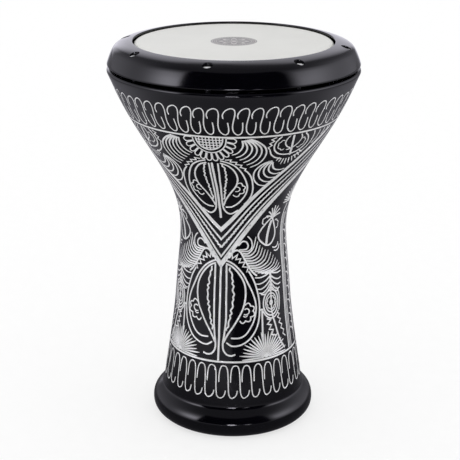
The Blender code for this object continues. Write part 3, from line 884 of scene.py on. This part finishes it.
class Builder:
    """Collects triangles with their own corner normals and material numbers."""

    def __init__(self):
        self.points, self.tris, self.normals, self.mats = [], [], [], []
        self.count = 0

    def add(self, points, tris, normals, mat):
        """points (n, 3) metres, tris (m, 3), normals (m, 3, 3), mat a number or one each."""
        self.points.append(points)
        self.tris.append(tris + self.count)
        self.normals.append(normals)
        self.mats.append(np.broadcast_to(mat, len(tris)))
        self.count += len(points)

    def turn(self, rings, headings, mat, smooth, centre=(0.0, 0.0), closed=False):
        """Surface round a vertical axis through rings of (radius, z) in millimetres, either
        of which may vary round the ring. With radius to the right and z up, its outside is
        on the right of the way the rings run. Bends under smooth degrees are shaded round."""
        if closed:
            rings = rings + rings[:1]
        head_x, head_y = headings
        cols = len(head_x)
        points = [np.stack([centre[0] + radius * head_x, centre[1] + radius * head_y,
                            np.broadcast_to(z, cols)], axis=1) for radius, z in rings]
        section = np.array([(np.mean(radius), np.mean(z)) for radius, z in rings])
        step = unit(np.diff(section, axis=0), 1e-12)
        normals = np.stack([step[:, 1], -step[:, 0]], axis=1)
        spans = len(normals)
        limit = math.cos(smooth * DEG)

        def shading(k, other):
            """Normals round one end of span k, blended with its neighbour's if smooth."""
            if closed:
                other %= spans
            normal = normals[k]
            if 0 <= other < spans and float(normal @ normals[other]) > limit:
                normal = normal + normals[other]
                normal = normal / np.linalg.norm(normal)
            return np.stack([normal[0] * head_x, normal[0] * head_y,
                             np.full(cols, normal[1])], axis=1)
        here = np.arange(cols)
        beside = (here + 1) % cols
        tris, corners = [], []
        for k in range(spans):
            low, high = k * cols, (k + 1) * cols
            start, end = shading(k, k - 1), shading(k, k + 1)
            if section[k, 0] > 1e-9:
                tris.append(np.stack([low + here, low + beside, high + beside], axis=1))
                corners.append(np.stack([start[here], start[beside], end[beside]], axis=1))
            if section[k + 1, 0] > 1e-9:
                tris.append(np.stack([low + here, high + beside, high + here], axis=1))
                corners.append(np.stack([start[here], end[beside], end[here]], axis=1))
        self.add(np.vstack(points) * MM, np.vstack(tris), np.concatenate(corners), mat)

    def lathe(self, section, cols, mat, start=0.0, smooth=35.0, closed=False):
        """Turned round the drum's axis, first column at deg = start."""
        angles = (start + 360.0 * np.arange(cols) / cols) * DEG
        self.turn(section, (np.sin(angles), -np.cos(angles)), mat, smooth, closed=closed)

    def tube(self, centre, rings, cols, mat, smooth=35.0):
        """Turned round a vertical axis at centre."""
        angles = 2 * math.pi * np.arange(cols) / cols
        self.turn(rings, (np.cos(angles), np.sin(angles)), mat, smooth, centre=centre)

    def make(self, name, *materials):
        attrs = [np.concatenate(self.normals), np.concatenate(self.mats)]
        points, tris, attrs = weld(np.vstack(self.points), np.vstack(self.tris), attrs)
        tris, (normals, mats) = drop_flaps(tris, attrs)
        mesh = bpy.data.meshes.new(name)
        mesh.vertices.add(len(points))
        mesh.vertices.foreach_set("co", points.astype(np.float32).ravel())
        mesh.loops.add(len(tris) * 3)
        mesh.loops.foreach_set("vertex_index", tris.astype(np.int32).ravel())
        mesh.polygons.add(len(tris))
        mesh.polygons.foreach_set("loop_start", np.arange(0, len(tris) * 3, 3, dtype=np.int32))
        mesh.polygons.foreach_set("loop_total", np.full(len(tris), 3, np.int32))
        mesh.polygons.foreach_set("material_index", mats.astype(np.int32))
        mesh.polygons.foreach_set("use_smooth", np.ones(len(tris), bool))
        mesh.update(calc_edges=True)
        mesh.validate()
        for material in materials:
            mesh.materials.append(material)
        # validate may drop faces, and the corner normals would then no longer match
        if len(mesh.loops) == len(normals) * 3:
            normals = unit(normals.reshape(-1, 3))
            mesh.normals_split_custom_set(normals.astype(np.float32).tolist())
        made = bpy.data.objects.new(name, mesh)
        bpy.context.scene.collection.objects.link(made)
        return made


def arc(centre, radius, first, last, steps):
    """(r, z) points on an arc, angles in degrees from +r towards +z."""
    angles = [(first + (last - first) * i / steps) * DEG for i in range(steps + 1)]
    return [(centre[0] + radius * math.cos(t), centre[1] + radius * math.sin(t))
            for t in angles]


def screw_xy(index):
    angle = (FIRST_SCREW + 360.0 * index / SCREWS) * DEG
    return SCREW_R * math.sin(angle), -SCREW_R * math.cos(angle)


def level(z):
    """Height and slope functions of a flat annulus."""
    return lambda radius: np.full(len(radius), z), lambda radius: np.zeros(len(radius))


def holed_annulus(radii, cols, start, hole_r, hole_cols, shape, up, rings):
    """Points, triangles and normals of a ring with a round hole at each screw.
    shape: functions of the radius for height and slope. up: which way it faces.
    rings: radii of extra points inside."""
    points, edges = [], []

    def loop(outline):
        base = len(points)
        points.extend(outline)
        for i in range(len(outline)):
            edges.append((base + i, base + (i + 1) % len(outline)))
    angles = (start + 360.0 * np.arange(cols) / cols) * DEG
    for radius in radii:
        loop([(radius * math.sin(t), -radius * math.cos(t)) for t in angles])
    holes = [screw_xy(i) for i in range(SCREWS)]
    for hole_x, hole_y in holes:
        loop([(hole_x + hole_r * math.cos(2 * math.pi * k / hole_cols),
               hole_y + hole_r * math.sin(2 * math.pi * k / hole_cols))
              for k in range(hole_cols)])
    for radius in rings:
        for t in angles:
            x, y = radius * math.sin(t), -radius * math.cos(t)
            if all(math.hypot(x - hole_x, y - hole_y) > hole_r + 0.6
                   for hole_x, hole_y in holes):
                points.append((x, y))
    points, tris = triangulate(points, edges, 1e-5)
    middle = points[tris].mean(axis=1)
    away = np.hypot(middle[:, 0], middle[:, 1])
    # triangles between a chord and its arc go by the chord
    keep = (away > radii[0] * math.cos(math.pi / cols)) & (away < radii[1])
    for hole_x, hole_y in holes:
        keep &= (np.hypot(middle[:, 0] - hole_x, middle[:, 1] - hole_y)
                 > hole_r * math.cos(math.pi / hole_cols))
    tris = tris[keep]
    face_way(points, tris, up)
    x, y = points.T
    radius = np.hypot(x, y)
    height, slope = shape[0](radius), shape[1](radius)
    normals = np.stack([-slope * x / radius, -slope * y / radius, np.ones(len(x))], axis=1)
    normals = unit(normals * (1.0 if up else -1.0))
    return np.column_stack([points, height]) * MM, tris, normals[tris]


# --------------------------------------------------------------- shader nodes
class Signal:
    """Output of a shader node. Arithmetic on it adds Math nodes."""

    def __init__(self, tree, node, output=0):
        self.tree, self.node, self.output = tree, node, output

    def __getitem__(self, output):
        return Signal(self.tree, self.node, output)

    def __add__(self, other):
        return self.maths("ADD", other)

    def __radd__(self, other):
        return self.add("Math", other, self, settings={"operation": "ADD"})

    def __sub__(self, other):
        return self.maths("SUBTRACT", other)

    def __rsub__(self, other):
        return self.add("Math", other, self, settings={"operation": "SUBTRACT"})

    def __mul__(self, other):
        return self.maths("MULTIPLY", other)

    def __truediv__(self, other):
        return self.maths("DIVIDE", other)

    def add(self, kind, *ordered, **named):
        return add_node(self.tree, kind, *ordered, **named)

    def maths(self, operation, *others):
        return self.add("Math", self, *others, settings={"operation": operation})

    def xyz(self):
        parts = self.add("SeparateXYZ", Vector=self)
        return parts["X"], parts["Y"], parts["Z"]

    def noise(self, scale, detail=4.0, rough=0.55):
        return self.add("TexNoise", Vector=self, Scale=scale, Detail=detail, Roughness=rough)

    def ramp(self, ends, colours):
        """Colour from the first to the second between two values."""
        made = self.add("ValToRGB", Fac=self)
        for element, at, colour in zip(made.node.color_ramp.elements, ends, colours):
            element.position = at
            element.color = (*colour, 1.0)
        return made

    def remap(self, source, target=(0.0, 1.0), kind="LINEAR"):
        return self.add("MapRange", Value=self, settings={"interpolation_type": kind},
                        From_Min=source[0], From_Max=source[1],
                        To_Min=target[0], To_Max=target[1])

    def fade(self, off, on):
        """0 at off, 1 at on, smooth between."""
        target = (0.0, 1.0) if off < on else (1.0, 0.0)
        return self.remap((min(off, on), max(off, on)), target, "SMOOTHSTEP")

    def bell(self, centre, width):
        """Gaussian bell, 1 at its centre."""
        away = (self - centre) / width
        return (away * away * -1.0).maths("EXPONENT")

    def bump(self, strength, distance, under=None):
        extra = {} if under is None else {"Normal": under}
        return self.add("Bump", Strength=strength, Distance=distance, Height=self, **extra)


def feed(tree, socket, value):
    if isinstance(value, Signal):
        tree.links.new(value.node.outputs[value.output], socket)
    else:
        socket.default_value = value


def set_inputs(tree, node, **values):
    """Feeds inputs by name, an underscore standing for a space."""
    for key, value in values.items():
        feed(tree, node.inputs[key.replace("_", " ")], value)


def add_node(tree, kind, *ordered, settings=None, **named):
    """New node with its inputs given in order or by name."""
    node = tree.nodes.new("ShaderNode" + kind)
    for key, value in (settings or {}).items():
        setattr(node, key, value)
    for socket, value in zip(node.inputs, ordered):
        feed(tree, socket, value)
    set_inputs(tree, node, **named)
    return Signal(tree, node)


def mix_colours(factor, first, second):
    return factor.add("Mix", settings={"data_type": "RGBA"}, Factor=factor, A=first,
                      B=second)["Result"]


def distance(x, y):
    return (x * x + y * y).maths("SQRT")


def heading(x, y):
    """Angle from -Y towards +X, in radians."""
    return x.maths("ARCTAN2", y * -1.0)


def by_ray(tree, camera, glossy, other):
    """Shows one shader to the camera, one to reflections and one to all other rays."""
    path = add_node(tree, "LightPath")
    unseen = add_node(tree, "MixShader", path["Is Glossy Ray"], other, glossy)
    return add_node(tree, "MixShader", path["Is Camera Ray"], unseen, camera)


# ----------------------------------------------------------------- materials
def new_material(name):
    """Material and its object coordinates."""
    made = bpy.data.materials.new(name)
    made.use_nodes = True
    return made, add_node(made.node_tree, "TexCoord")["Object"]


def coat(made, **inputs):
    tree = made.node_tree
    set_inputs(tree, tree.nodes["Principled BSDF"], **inputs)
    return made


def grey(value):
    return (value, value, value)


def lacquer_material(name, tint):
    """Glossy black stoved lacquer: orange peel, faint hairlines, a little dust."""
    made, at = new_material(name)
    cloud = at.noise(scale=22, detail=3)
    peel = at.noise(scale=420, detail=2, rough=0.4)
    dust = at.noise(scale=2600, detail=1, rough=0.3)
    stretched = at.add("Mapping", Vector=at, Scale=(1, 1, 14))
    hair = stretched.noise(scale=260, detail=3, rough=0.7)
    hairlines = hair.remap(source=(0.60, 0.72))
    specks = dust.remap(source=(0.71, 0.76))
    base = cloud.ramp(ends=(0.3, 0.7),
                      colours=[tuple(part * shade for part in tint) for shade in (0.85, 1.2)])
    rough = cloud.remap(source=(0.3, 0.7), target=(0.085, 0.125)) + hairlines * 0.06
    return coat(made, Base_Color=mix_colours(specks * 0.05, base, (*grey(0.16), 1.0)),
                Roughness=rough, IOR=1.5, Normal=peel.bump(strength=0.05, distance=0.0002))


def cut_metal_material():
    """Bright tool-cut aluminium in the engraved lines."""
    made, at = new_material("engraved_bare_metal")
    grain = at.noise(scale=900, detail=3, rough=0.6)
    patch = at.noise(scale=45, detail=3)
    return coat(made, Metallic=0.35,
                Base_Color=patch.ramp(ends=(0.25, 0.75), colours=(grey(0.86), grey(0.98))),
                Roughness=grain.remap(source=(0.3, 0.7), target=(0.36, 0.52)),
                Normal=grain.bump(strength=0.35, distance=0.0003))


def hatched_metal_material():
    """The floor of the wide bands: metal scored with close cross hatching, its scored lines
    painted darker as shade in their recesses.
    """
    hatch_radius, hatch_rate = 0.085, 6300.0    # metres, radians per metre
    made, at = new_material("hatched_band_metal")
    x, y, z = at.xyz()
    across = heading(x, y) * hatch_radius
    waves = [(slant * hatch_rate).maths("SINE").maths("ABSOLUTE")
             for slant in (across + z, across - z)]
    grain = at.noise(scale=500, detail=3)
    mark = waves[0].maths("MINIMUM", waves[1]).remap(source=(0.05, 0.45))
    # colour is darkest along the scored lines, which the bump sinks: painted shade in the
    # hatching; the grain share is random tone
    scored_shade_and_grain = mark * grain.remap(source=(0.2, 0.8), target=(0.8, 1.0))
    # base colour runs from the painted shade of the scored lines (0.36) to the metal between them
    # (0.76)
    return coat(made, Metallic=0.5,
                Base_Color=scored_shade_and_grain.ramp(ends=(0, 1), colours=((0.36, 0.36, 0.37),
                                                           (0.76, 0.76, 0.77))),
                Roughness=grain.remap(source=(0.3, 0.7), target=(0.4, 0.55)),
                Normal=mark.bump(strength=0.4, distance=0.0002))


def cast_material():
    """Raw sand-cast inside of the shell."""
    made, at = new_material("sand_cast_inside")
    sand = at.noise(scale=700, detail=6, rough=0.7)
    broad = at.noise(scale=30, detail=4)
    pits = at.add("TexVoronoi", Vector=at, Scale=320.0)
    grains = sand.bump(strength=0.7, distance=0.0006)
    return coat(made, Metallic=0.85,
                Base_Color=broad.ramp(ends=(0.3, 0.7), colours=((0.25, 0.25, 0.255),
                                                                (0.38, 0.38, 0.385))),
                Roughness=sand.remap(source=(0.3, 0.7), target=(0.5, 0.72)),
                Normal=pits.bump(strength=0.25, distance=0.0006, under=grains))


def badge_light(radius, angle):
    """The badge's light marks: rings, a row of beads and a rosette. Radii in metres."""
    soft = 0.00025          # half width of a ring's edge
    petals = 8

    def band(low, high):
        return (radius.remap(source=(low - soft, low + soft))
                * radius.remap(source=(high - soft, high + soft), target=(1.0, 0.0)))

    def rosette(inner, swing):
        """1 inside the outline radius inner + swing |cos|"""
        wave = (angle * (petals / 2.0)).maths("COSINE").maths("ABSOLUTE")
        return (wave * swing + inner - radius).remap(source=(0.0, 0.0003))

    rings = band(0.0236, 0.0245).maths("MAXIMUM", band(0.0192, 0.0198))
    outline = rosette(inner=0.0065, swing=0.0105) - rosette(inner=0.0045, swing=0.0085)
    core = band(-0.001, 0.0028).maths("MAXIMUM", band(0.0040, 0.0046))
    beads = (angle * 40.0).maths("COSINE").remap(source=(0.25, 0.5)) * band(0.0208, 0.0222)
    light = rings.maths("MAXIMUM", outline)
    return light.maths("MAXIMUM", core).maths("MAXIMUM", beads)


def film_material():
    """White synthetic head with a printed round badge of plain rings and petals."""
    made, at = new_material("white_head_film")
    x, y, _ = at.xyz()
    radius = distance(x, y)
    grain = at.noise(scale=1500, detail=3, rough=0.6)
    broad = at.noise(scale=14, detail=3)
    plain = broad.ramp(ends=(0.3, 0.7), colours=((0.73, 0.733, 0.688), (0.775, 0.778, 0.732)))
    disc = radius.remap(source=(0.0254, 0.0257), target=(1.0, 0.0))
    dark_ink, light_ink = (0.205, 0.195, 0.187, 1.0), (0.52, 0.50, 0.485, 1.0)
    ink = mix_colours(badge_light(radius, y.maths("ARCTAN2", x)), dark_ink, light_ink)
    cover = disc * grain.remap(source=(0.25, 0.6), target=(0.82, 1.0))
    return coat(made, Base_Color=mix_colours(cover, plain, ink), IOR=1.46,
                Roughness=grain.remap(source=(0.3, 0.7), target=(0.36, 0.5)),
                Normal=grain.bump(strength=0.12, distance=0.0002))


def plain_metal_material(name, colours, rough, grain, metallic=1.0):
    """Slightly clouded metal. grain is the scale of its fine noise."""
    made, at = new_material(name)
    cloud = at.noise(scale=120, detail=4)
    fine = at.noise(scale=grain, detail=3)
    return coat(made, Metallic=metallic,
                Base_Color=cloud.ramp(ends=(0.3, 0.7), colours=colours),
                Roughness=fine.remap(source=(0.3, 0.7), target=rough),
                Normal=fine.bump(strength=0.15, distance=0.0001))


LACQUER = lacquer_material("shell_black_lacquer", tint=(0.0012, 0.0011, 0.0024))
RIM_LACQUER = lacquer_material("rim_black_lacquer", tint=(0.001, 0.0009, 0.0021))
CUT_METAL = cut_metal_material()
HATCHED = hatched_metal_material()
CAST = cast_material()
FILM = film_material()
CHROME = plain_metal_material(
    "chromed_screw", colours=((0.92, 0.92, 0.94), (0.98, 0.98, 0.99)), rough=(0.18, 0.3),
    grain=1500, metallic=0.22)
# the threaded shank is coloured far darker than the head of the same screw: painted shade for the
# gap between rim and flange where it shows
SHANK = plain_metal_material(
    "thread_painted_shade", colours=((0.16, 0.16, 0.17), (0.26, 0.26, 0.27)), rough=(0.16, 0.26),
    grain=1500)
ZINC = plain_metal_material(
    "zinc_washer", colours=((0.5, 0.5, 0.52), (0.64, 0.64, 0.66)), rough=(0.26, 0.4),
    grain=1200)
ALUMINIUM = plain_metal_material(
    "mill_aluminium", colours=((0.6, 0.6, 0.61), (0.74, 0.74, 0.75)), rough=(0.3, 0.45),
    grain=900)


# --------------------------------------------------------------------- shell
def face_normals(points, tris):
    first, second, third = (points[tris[:, k]] for k in range(3))
    return np.cross(second - first, third - first)


def add_engraved_zone(build):
    """The engraved half turn, and again turned by 180 degrees."""
    lacquer, groove, flat_floor = 0, 1, 2       # material slots
    plan, tris, cut, depth = engrave()
    y = plan[:, 1]
    z = np.where(np.abs(y - FLAT_LOW) < 1e-3, ENGRAVE_LOW,
                 np.where(np.abs(y - FLAT_HIGH) < 1e-3, ENGRAVE_HIGH, height_at(y)))
    points, normals = surface(plan[:, 0] / PER_DEG, z, depth)
    used, tris = np.unique(tris, return_inverse=True)
    tris = tris.reshape(-1, 3)
    points, normals, depth = points[used], normals[used], depth[used]
    # faces must look outwards
    wrong = (face_normals(points, tris) * normals[tris[:, 0]]).sum(axis=1) < 0
    tris[wrong] = tris[wrong][:, ::-1]
    # groove walls are shaded nearly flat, plain lacquer as the true turned surface
    flat = np.repeat(unit(face_normals(points, tris), 1e-15)[:, None, :], 3, axis=1)
    corners = normals[tris]
    corners[cut] = flat[cut] * FLAT_SHADING + corners[cut] * (1 - FLAT_SHADING)
    mats = np.where(cut, groove, lacquer)
    mats = np.where(cut & (depth[tris].min(axis=1) > DEPTH * 0.985), flat_floor, mats)
    build.add(points, tris, corners, mats)
    half_turn = np.array([-1.0, -1.0, 1.0])
    build.add(points * half_turn, tris, corners * half_turn, mats)


def shell_mesh():
    lacquer, cast = 0, 3        # material slots
    hole_cols = 32
    build = Builder()
    add_engraved_zone(build)

    def outside(low, high, count):
        return [(float(shell_radius(z)), float(z)) for z in np.linspace(low, high, count)]
    # from the engraved zone up and over the flange's edge, and the foot
    edge = arc((137.5, 412.2), 3.0, -6, 90, 10)
    build.lathe(outside(ENGRAVE_HIGH, 411.2, 5) + edge, COLS, lacquer, LEFT)
    build.lathe(FOOT_OUTSIDE + outside(CREASE_Z, ENGRAVE_LOW, 3), COLS, lacquer, LEFT,
                smooth=25.0)
    # flange top with its eight holes, then the collar
    build.add(*holed_annulus((111.2, 137.5), COLS, LEFT, HOLE_R, hole_cols, level(FLANGE_TOP),
                             True, (116.5, 131.5)), lacquer)
    collar = ([(111.2, FLANGE_TOP)] + arc((111.2, 416.8), 1.6, 270, 180, 4)[1:]
              + arc(COLLAR_EDGE, 3.0, 0, 90, 10) + arc((105.0, 439.1), 2.0, 90, 180, 6))
    build.lathe(collar, COLS, lacquer, LEFT)
    # inside, from the collar down to the foot
    bore = [(103, 439.1), (103, 430), (105, 412), (106.6, 408.2), (108.5, FLANGE_UNDER)]
    build.lathe(bore, COLS, cast, LEFT, smooth=50.0)
    build.add(*holed_annulus((108.5, 128.2), COLS, LEFT, HOLE_R, hole_cols,
                             level(FLANGE_UNDER), False, (116.0,)), cast)
    heights = np.linspace(397.4, 44.0, 40)
    body = [(float(radius), float(z))
            for radius, z in zip(hermite(BODY_INSIDE, heights), heights)]
    build.lathe(FLANGE_INSIDE + body + FOOT_INSIDE, COLS, cast, LEFT, smooth=50.0)
    build.lathe([FOOT_INSIDE[-1], FOOT_OUTSIDE[0]], COLS, lacquer, LEFT)
    for i in range(SCREWS):
        build.tube(screw_xy(i), [(HOLE_R, FLANGE_TOP), (HOLE_R, FLANGE_UNDER)], hole_cols, cast)
    return build.make("drum_shell", LACQUER, CUT_METAL, HATCHED, CAST)


# ------------------------------------------------------------------ rim, head
def rim_height(radius):
    return hermite(RIM_TOP, np.clip(radius, RIM_TOP[0][0], RIM_TOP[-1][0]))


def rim_slope(radius):
    return (rim_height(radius + 0.2) - rim_height(radius - 0.2)) / 0.4


def rim_mesh():
    build = Builder()
    hole_cols = 56
    mouth_r = 5.55              # counterbore at the rim's top
    inner, outer = RIM_PATCH
    build.add(*holed_annulus(RIM_PATCH, RIM_COLS, 0.0, mouth_r, hole_cols,
                             (rim_height, rim_slope), True,
                             (118.6, 121.2, SCREW_R, 127.2, 129.6)), 0)
    # outer side, bottom edge up to the holed patch
    zs = np.concatenate([np.linspace(419.6, 434.6, 12), [435.4]])
    side = [(float(radius), float(z)) for radius, z in zip(hermite(RIM_SIDE, zs), zs)]
    lower = [(139.4, RIM_BASE), (139.76, 418.78), (139.97, 418.99), (140.05, 419.28)]
    upper = [(132.95, 436), (132.35, 436.65), (outer, float(rim_height(outer)))]
    build.lathe(lower + side + upper, RIM_COLS, 0, smooth=40.0)
    # from the holed patch in to the lip and down the throat
    radii = np.linspace(inner, 112.7, 6)
    slope = [(float(radius), float(z)) for radius, z in zip(radii, rim_height(radii))]
    lip = arc((112.35, 442.75), 0.95, 84, 180, 8)
    throat = [(111.4, 441.9), (111.5, 441.3), (111.8, 440.7), (112.1, 440.1), (112.3, 439.3),
              (112.3, 427.3), (112.6, 427), (114.7, 427), (115, 426.7), (115, 419.5),
              (115.3, 419), (115.8, RIM_BASE)]
    build.lathe(slope + lip + throat, RIM_COLS, 0, smooth=40.0)
    build.add(*holed_annulus((115.8, 139.4), RIM_COLS, 0.0, HOLE_R, hole_cols,
                             level(RIM_BASE), False, (119.6, 130.0)), 0)
    angles = 2 * math.pi * np.arange(hole_cols) / hole_cols
    for i in range(SCREWS):
        x, y = screw_xy(i)

        def mouth(radius, drop):
            """Ring so far below the rim's top."""
            away = np.hypot(x + radius * np.cos(angles), y + radius * np.sin(angles))
            return radius, rim_height(away) - drop
        wall = [mouth(mouth_r, 0.0), mouth(5.42, 0.06), mouth(5.33, 0.18),
                mouth(COUNTERBORE_R, 0.35), (COUNTERBORE_R, COUNTERBORE_Z)]
        build.tube((x, y), wall, hole_cols, 0, smooth=60.0)
        build.tube((x, y), [(COUNTERBORE_R, COUNTERBORE_Z), (3.6, COUNTERBORE_Z),
                            (HOLE_R, 430.5)], hole_cols, 0)
        build.tube((x, y), [(HOLE_R, 430.5), (HOLE_R, RIM_BASE)], hole_cols, 0)
    return build.make("tuning_rim_lacquered", RIM_LACQUER)


def film_mesh():
    build = Builder()
    inside_r, outside_r = 3.3, 3.7      # rounding over the collar
    under, top = COLLAR_EDGE[1] + inside_r, COLLAR_EDGE[1] + outside_r
    skirt = [(110.3, 433.6), (111, 427.2), (111.1, 423.4), (111.5, 423.4), (111.4, 427.2),
             (110.7, 433.6)]
    section = ([(radius, under) for radius in (0, 30, 60, 90)]
               + arc(COLLAR_EDGE, inside_r, 90, 0, 12) + skirt
               + arc(COLLAR_EDGE, outside_r, 0, 90, 12)
               + [(radius, top) for radius in (104, 96, 84, 70, 55, 40, 26, 14, 6, 0)])
    build.lathe(section, HEAD_COLS, 0, smooth=40.0)
    return build.make("white_head", FILM)


def hoop_mesh():
    build = Builder()
    build.lathe(HOOP_SECTION, HEAD_COLS, 0, smooth=20.0, closed=True)
    return build.make("hoop_channel", ALUMINIUM)


# -------------------------------------------------------------------- screws
def washer_mesh(i):
    build = Builder()
    build.tube(screw_xy(i), WASHER_SECTION, 48, 0, smooth=30.0)
    return build.make("screw_washer_%d" % (i + 1), ZINC)


def shank_rings(low, high, angles):
    """Helical thread from a blunt tip up to a plain neck."""
    root, crest, pitch, per_turn = 2.45, 2.95, 1.0, 3
    count = int((high - low - 1.6) / pitch * per_turn)
    rings = [(1.9, low), (2.35, low + 0.5)]
    for k in range(count + 1):
        fade = min(1.0, k / 5.0, (count - k) / 5.0)
        phase = (k / per_turn + angles / (2 * math.pi)) % 1.0
        ridge = 1.0 - np.abs(phase * 2.0 - 1.0)
        rings.append((root + (crest - root) * ridge * fade, low + 0.8 + k * pitch / per_turn))
    return rings + [(2.7, high - 0.3), (2.95, high), (2.95, SCREW_Z - 0.25), (3.1, SCREW_Z)]


def screw_mesh(i):
    """Socket cap screw: threaded shank, knurled head, hexagonal socket."""
    build = Builder()
    centre, base = screw_xy(i), SCREW_Z
    cols = 72
    angles = 2 * math.pi * np.arange(cols) / cols
    facing = math.radians(-102.4 + 45.0 * i + (i * 37.0) % 60.0)
    shank = shank_rings(base - 26.8, base - 6.8, angles)
    build.tube(centre, [(0.0, base - 26.8), shank[0]], cols, 1)
    build.tube(centre, shank, cols, 1, smooth=70.0)

    knurl = 5.0 + np.where(np.arange(cols) % 2 == 0, 0.0, -0.16)
    rounded = [(4.25 + 0.65 * math.cos(t * DEG), base + 5.35 + 0.65 * math.sin(t * DEG))
               for t in (0, 25, 50, 72, 90)]
    flats = 5.0                 # socket width across flats
    local = (angles - facing + math.pi / 6) % (math.pi / 3) - math.pi / 6
    socket = flats / 2.0 / np.cos(local)
    for rings, smooth in (
            ([(3.1, base), (4.6, base)], 35),
            ([(4.6, base), (4.86, base + 0.22)], 35),
            ([(4.86, base + 0.22), (knurl, base + 0.5), (knurl, base + 4.9),
              (4.9, base + 5.2)], 40),
            ([(4.9, base + 5.2)] + rounded + [(3.4, base + 6.0)], 40),
            ([(3.4, base + 6.0), (3.1, base + 5.95), (socket, base + 5.6)], 20),
            ([(socket, base + 5.6), (socket, base + 2.9)], 35),
            ([(socket, base + 2.9), (2.0, base + 2.6), (0.0, base + 2.3)], 35)):
        build.tube(centre, rings, cols, 0, smooth=smooth)
    # head in the screw's own finish, threaded shank in the darker material that paints the shade
    # of the gap
    return build.make("cap_screw_%d" % (i + 1), CHROME, SHANK)


def fit(made, replaced, carrier):
    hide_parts(replaced)
    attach(made, carrier)


fit(shell_mesh(), "shell", "shell")
fit(rim_mesh(), "tuning_rim", "rim")
fit(film_mesh(), "head_film", "rim")
fit(hoop_mesh(), "flesh_hoop", "rim")
for i in range(SCREWS):
    fit(washer_mesh(i), "washer_%d" % (i + 1), "rim")
    fit(screw_mesh(i), "tension_screw_%d" % (i + 1), "screw_%d" % (i + 1))

# -------------------------------------------------------------------- studio
REFLECTED_TINT = (0.975, 0.958, 1.065, 1.0)     # of all that polished surfaces see
WHITE = (1.0, 1.0, 1.0, 1.0)


def reflected_floor(at):
    """Brightness of the floor in reflections, by distance (metres) and heading (radians)."""
    x, y, _ = at.xyz()
    away = distance(x, y)
    near = away.fade(off=0.16, on=0.6)
    side = heading(x, y)
    behind = y.fade(off=0.1, on=0.9) * 0.5
    stripe = (side.fade(off=-0.10, on=0.02) * side.fade(off=1.0, on=0.75)
              * away.fade(off=0.35, on=0.7))
    backdrop = side.maths("ABSOLUTE").fade(off=2.72, on=2.92) * away.fade(off=1.0, on=2.5) * 0.8
    return (0.11 + near * 0.37) * (1.0 - behind) * (1.0 - stripe * 0.93) + backdrop


def floor_material():
    """Pale floor. Polished surfaces see a dimmer table, as under flagged studio lamps."""
    made = bpy.data.materials.new("white_floor")
    made.use_nodes = True
    tree = made.node_tree
    tree.nodes.clear()
    at = add_node(tree, "TexCoord")["Object"]
    fleck = at.noise(scale=60, detail=3)
    pale = add_node(tree, "BsdfDiffuse", Color=fleck.ramp(ends=(0.3, 0.7),
                                                          colours=(grey(0.35), grey(0.37))))
    glow = add_node(tree, "Emission", Strength=0.665)
    seen = add_node(tree, "AddShader", pale, glow)
    white = add_node(tree, "BsdfDiffuse", Color=(*grey(0.96), 1.0))
    dim = add_node(tree, "Emission", Color=REFLECTED_TINT, Strength=reflected_floor(at))
    add_node(tree, "OutputMaterial",
             Surface=by_ray(tree, camera=seen, glossy=dim, other=white))
    return made


def reflected_room(direction):
    """Brightness of the room in reflections. Angles are degrees: side from the camera's
    direction (-Y) towards +X, height above the horizon."""
    x, y, z = direction.xyz()
    side = heading(x, y) * (180.0 / math.pi)
    height = z.maths("ARCSINE") * (180.0 / math.pi)
    wide = side.maths("ABSOLUTE")
    # even light, brighter to both sides and in patches behind the drum
    room = (0.17
            + wide.fade(off=60, on=100) * wide.fade(off=165, on=110)
            * height.fade(off=70, on=10) * 0.5
            + side.fade(off=90, on=112) * side.fade(off=150, on=128)
            * height.fade(off=60, on=20) * 0.12
            + side.fade(off=159, on=168) * height.fade(off=50, on=37) * 0.88
            + side.fade(off=-159, on=-169) * height.fade(off=48, on=35) * 1.08
            + side.fade(off=-147, on=-160) * side.fade(off=-171, on=-163)
            * height.fade(off=24, on=8) * 0.85)
    # a black flag in front of the drum
    flag = wide.fade(off=56, on=50) * height.fade(off=57, on=49)
    # tall soft boxes on either side of the flag
    left = (side.fade(off=-47.5, on=-53.5) * side.bell(centre=-60, width=21)
            * height.bell(centre=21, width=16) * 4.0)
    right = (side.fade(off=50, on=66) * side.bell(centre=72, width=26)
             * height.bell(centre=20, width=17) * 2.4)
    # two narrow windows low on the camera's side
    slit = (side.fade(off=-7.5, on=-6) * side.fade(off=5, on=3.5)
            * height.fade(off=-2.5, on=-1) * height.fade(off=3.5, on=2) * 24.0)
    second_slit = (side.fade(off=17, on=18.5) * side.fade(off=25, on=23.5)
                   * height.fade(off=-2.5, on=-1) * height.fade(off=3.5, on=2) * 4.5)
    return room * (1.0 - flag) + left + right + slit + second_slit


def build_floor():
    bpy.ops.mesh.primitive_plane_add(size=40.0, location=(0, 0, 0))
    floor = bpy.context.object
    floor.name = "floor"
    floor.data.materials.append(floor_material())


def build_world():
    world = bpy.data.worlds.new("studio")
    bpy.context.scene.world = world
    world.use_nodes = True
    tree = world.node_tree
    tree.nodes.clear()
    seen = add_node(tree, "Background", Color=WHITE, Strength=1.0)
    even = add_node(tree, "Background", Color=WHITE, Strength=0.93)
    direction = add_node(tree, "TexCoord")["Generated"]
    boxes = add_node(tree, "Background", Color=REFLECTED_TINT,
                     Strength=reflected_room(direction))
    add_node(tree, "OutputWorld",
             Surface=by_ray(tree, camera=seen, glossy=boxes, other=even))
    world.cycles.sampling_method = "NONE"


def build_camera():
    place = (0.0, -1.4093, 0.7149)      # metres
    tilt, roll = 70.713, 0.202          # degrees up from straight down, about the view axis
    lens = bpy.data.cameras.new("photo_camera")
    lens.lens = 101.03
    lens.sensor_width = 36.0
    lens.shift_x = -0.00707
    camera = bpy.data.objects.new("photo_camera", lens)
    bpy.context.scene.collection.objects.link(camera)
    turned = (Matrix.Rotation(math.radians(tilt), 3, "X")
              @ Matrix.Rotation(math.radians(roll), 3, "Z"))
    camera.matrix_world = Matrix.Translation(place) @ turned.to_4x4()
    bpy.context.scene.camera = camera


build_floor()
build_world()
build_camera()
bpy.context.scene.view_settings.view_transform = "Standard"
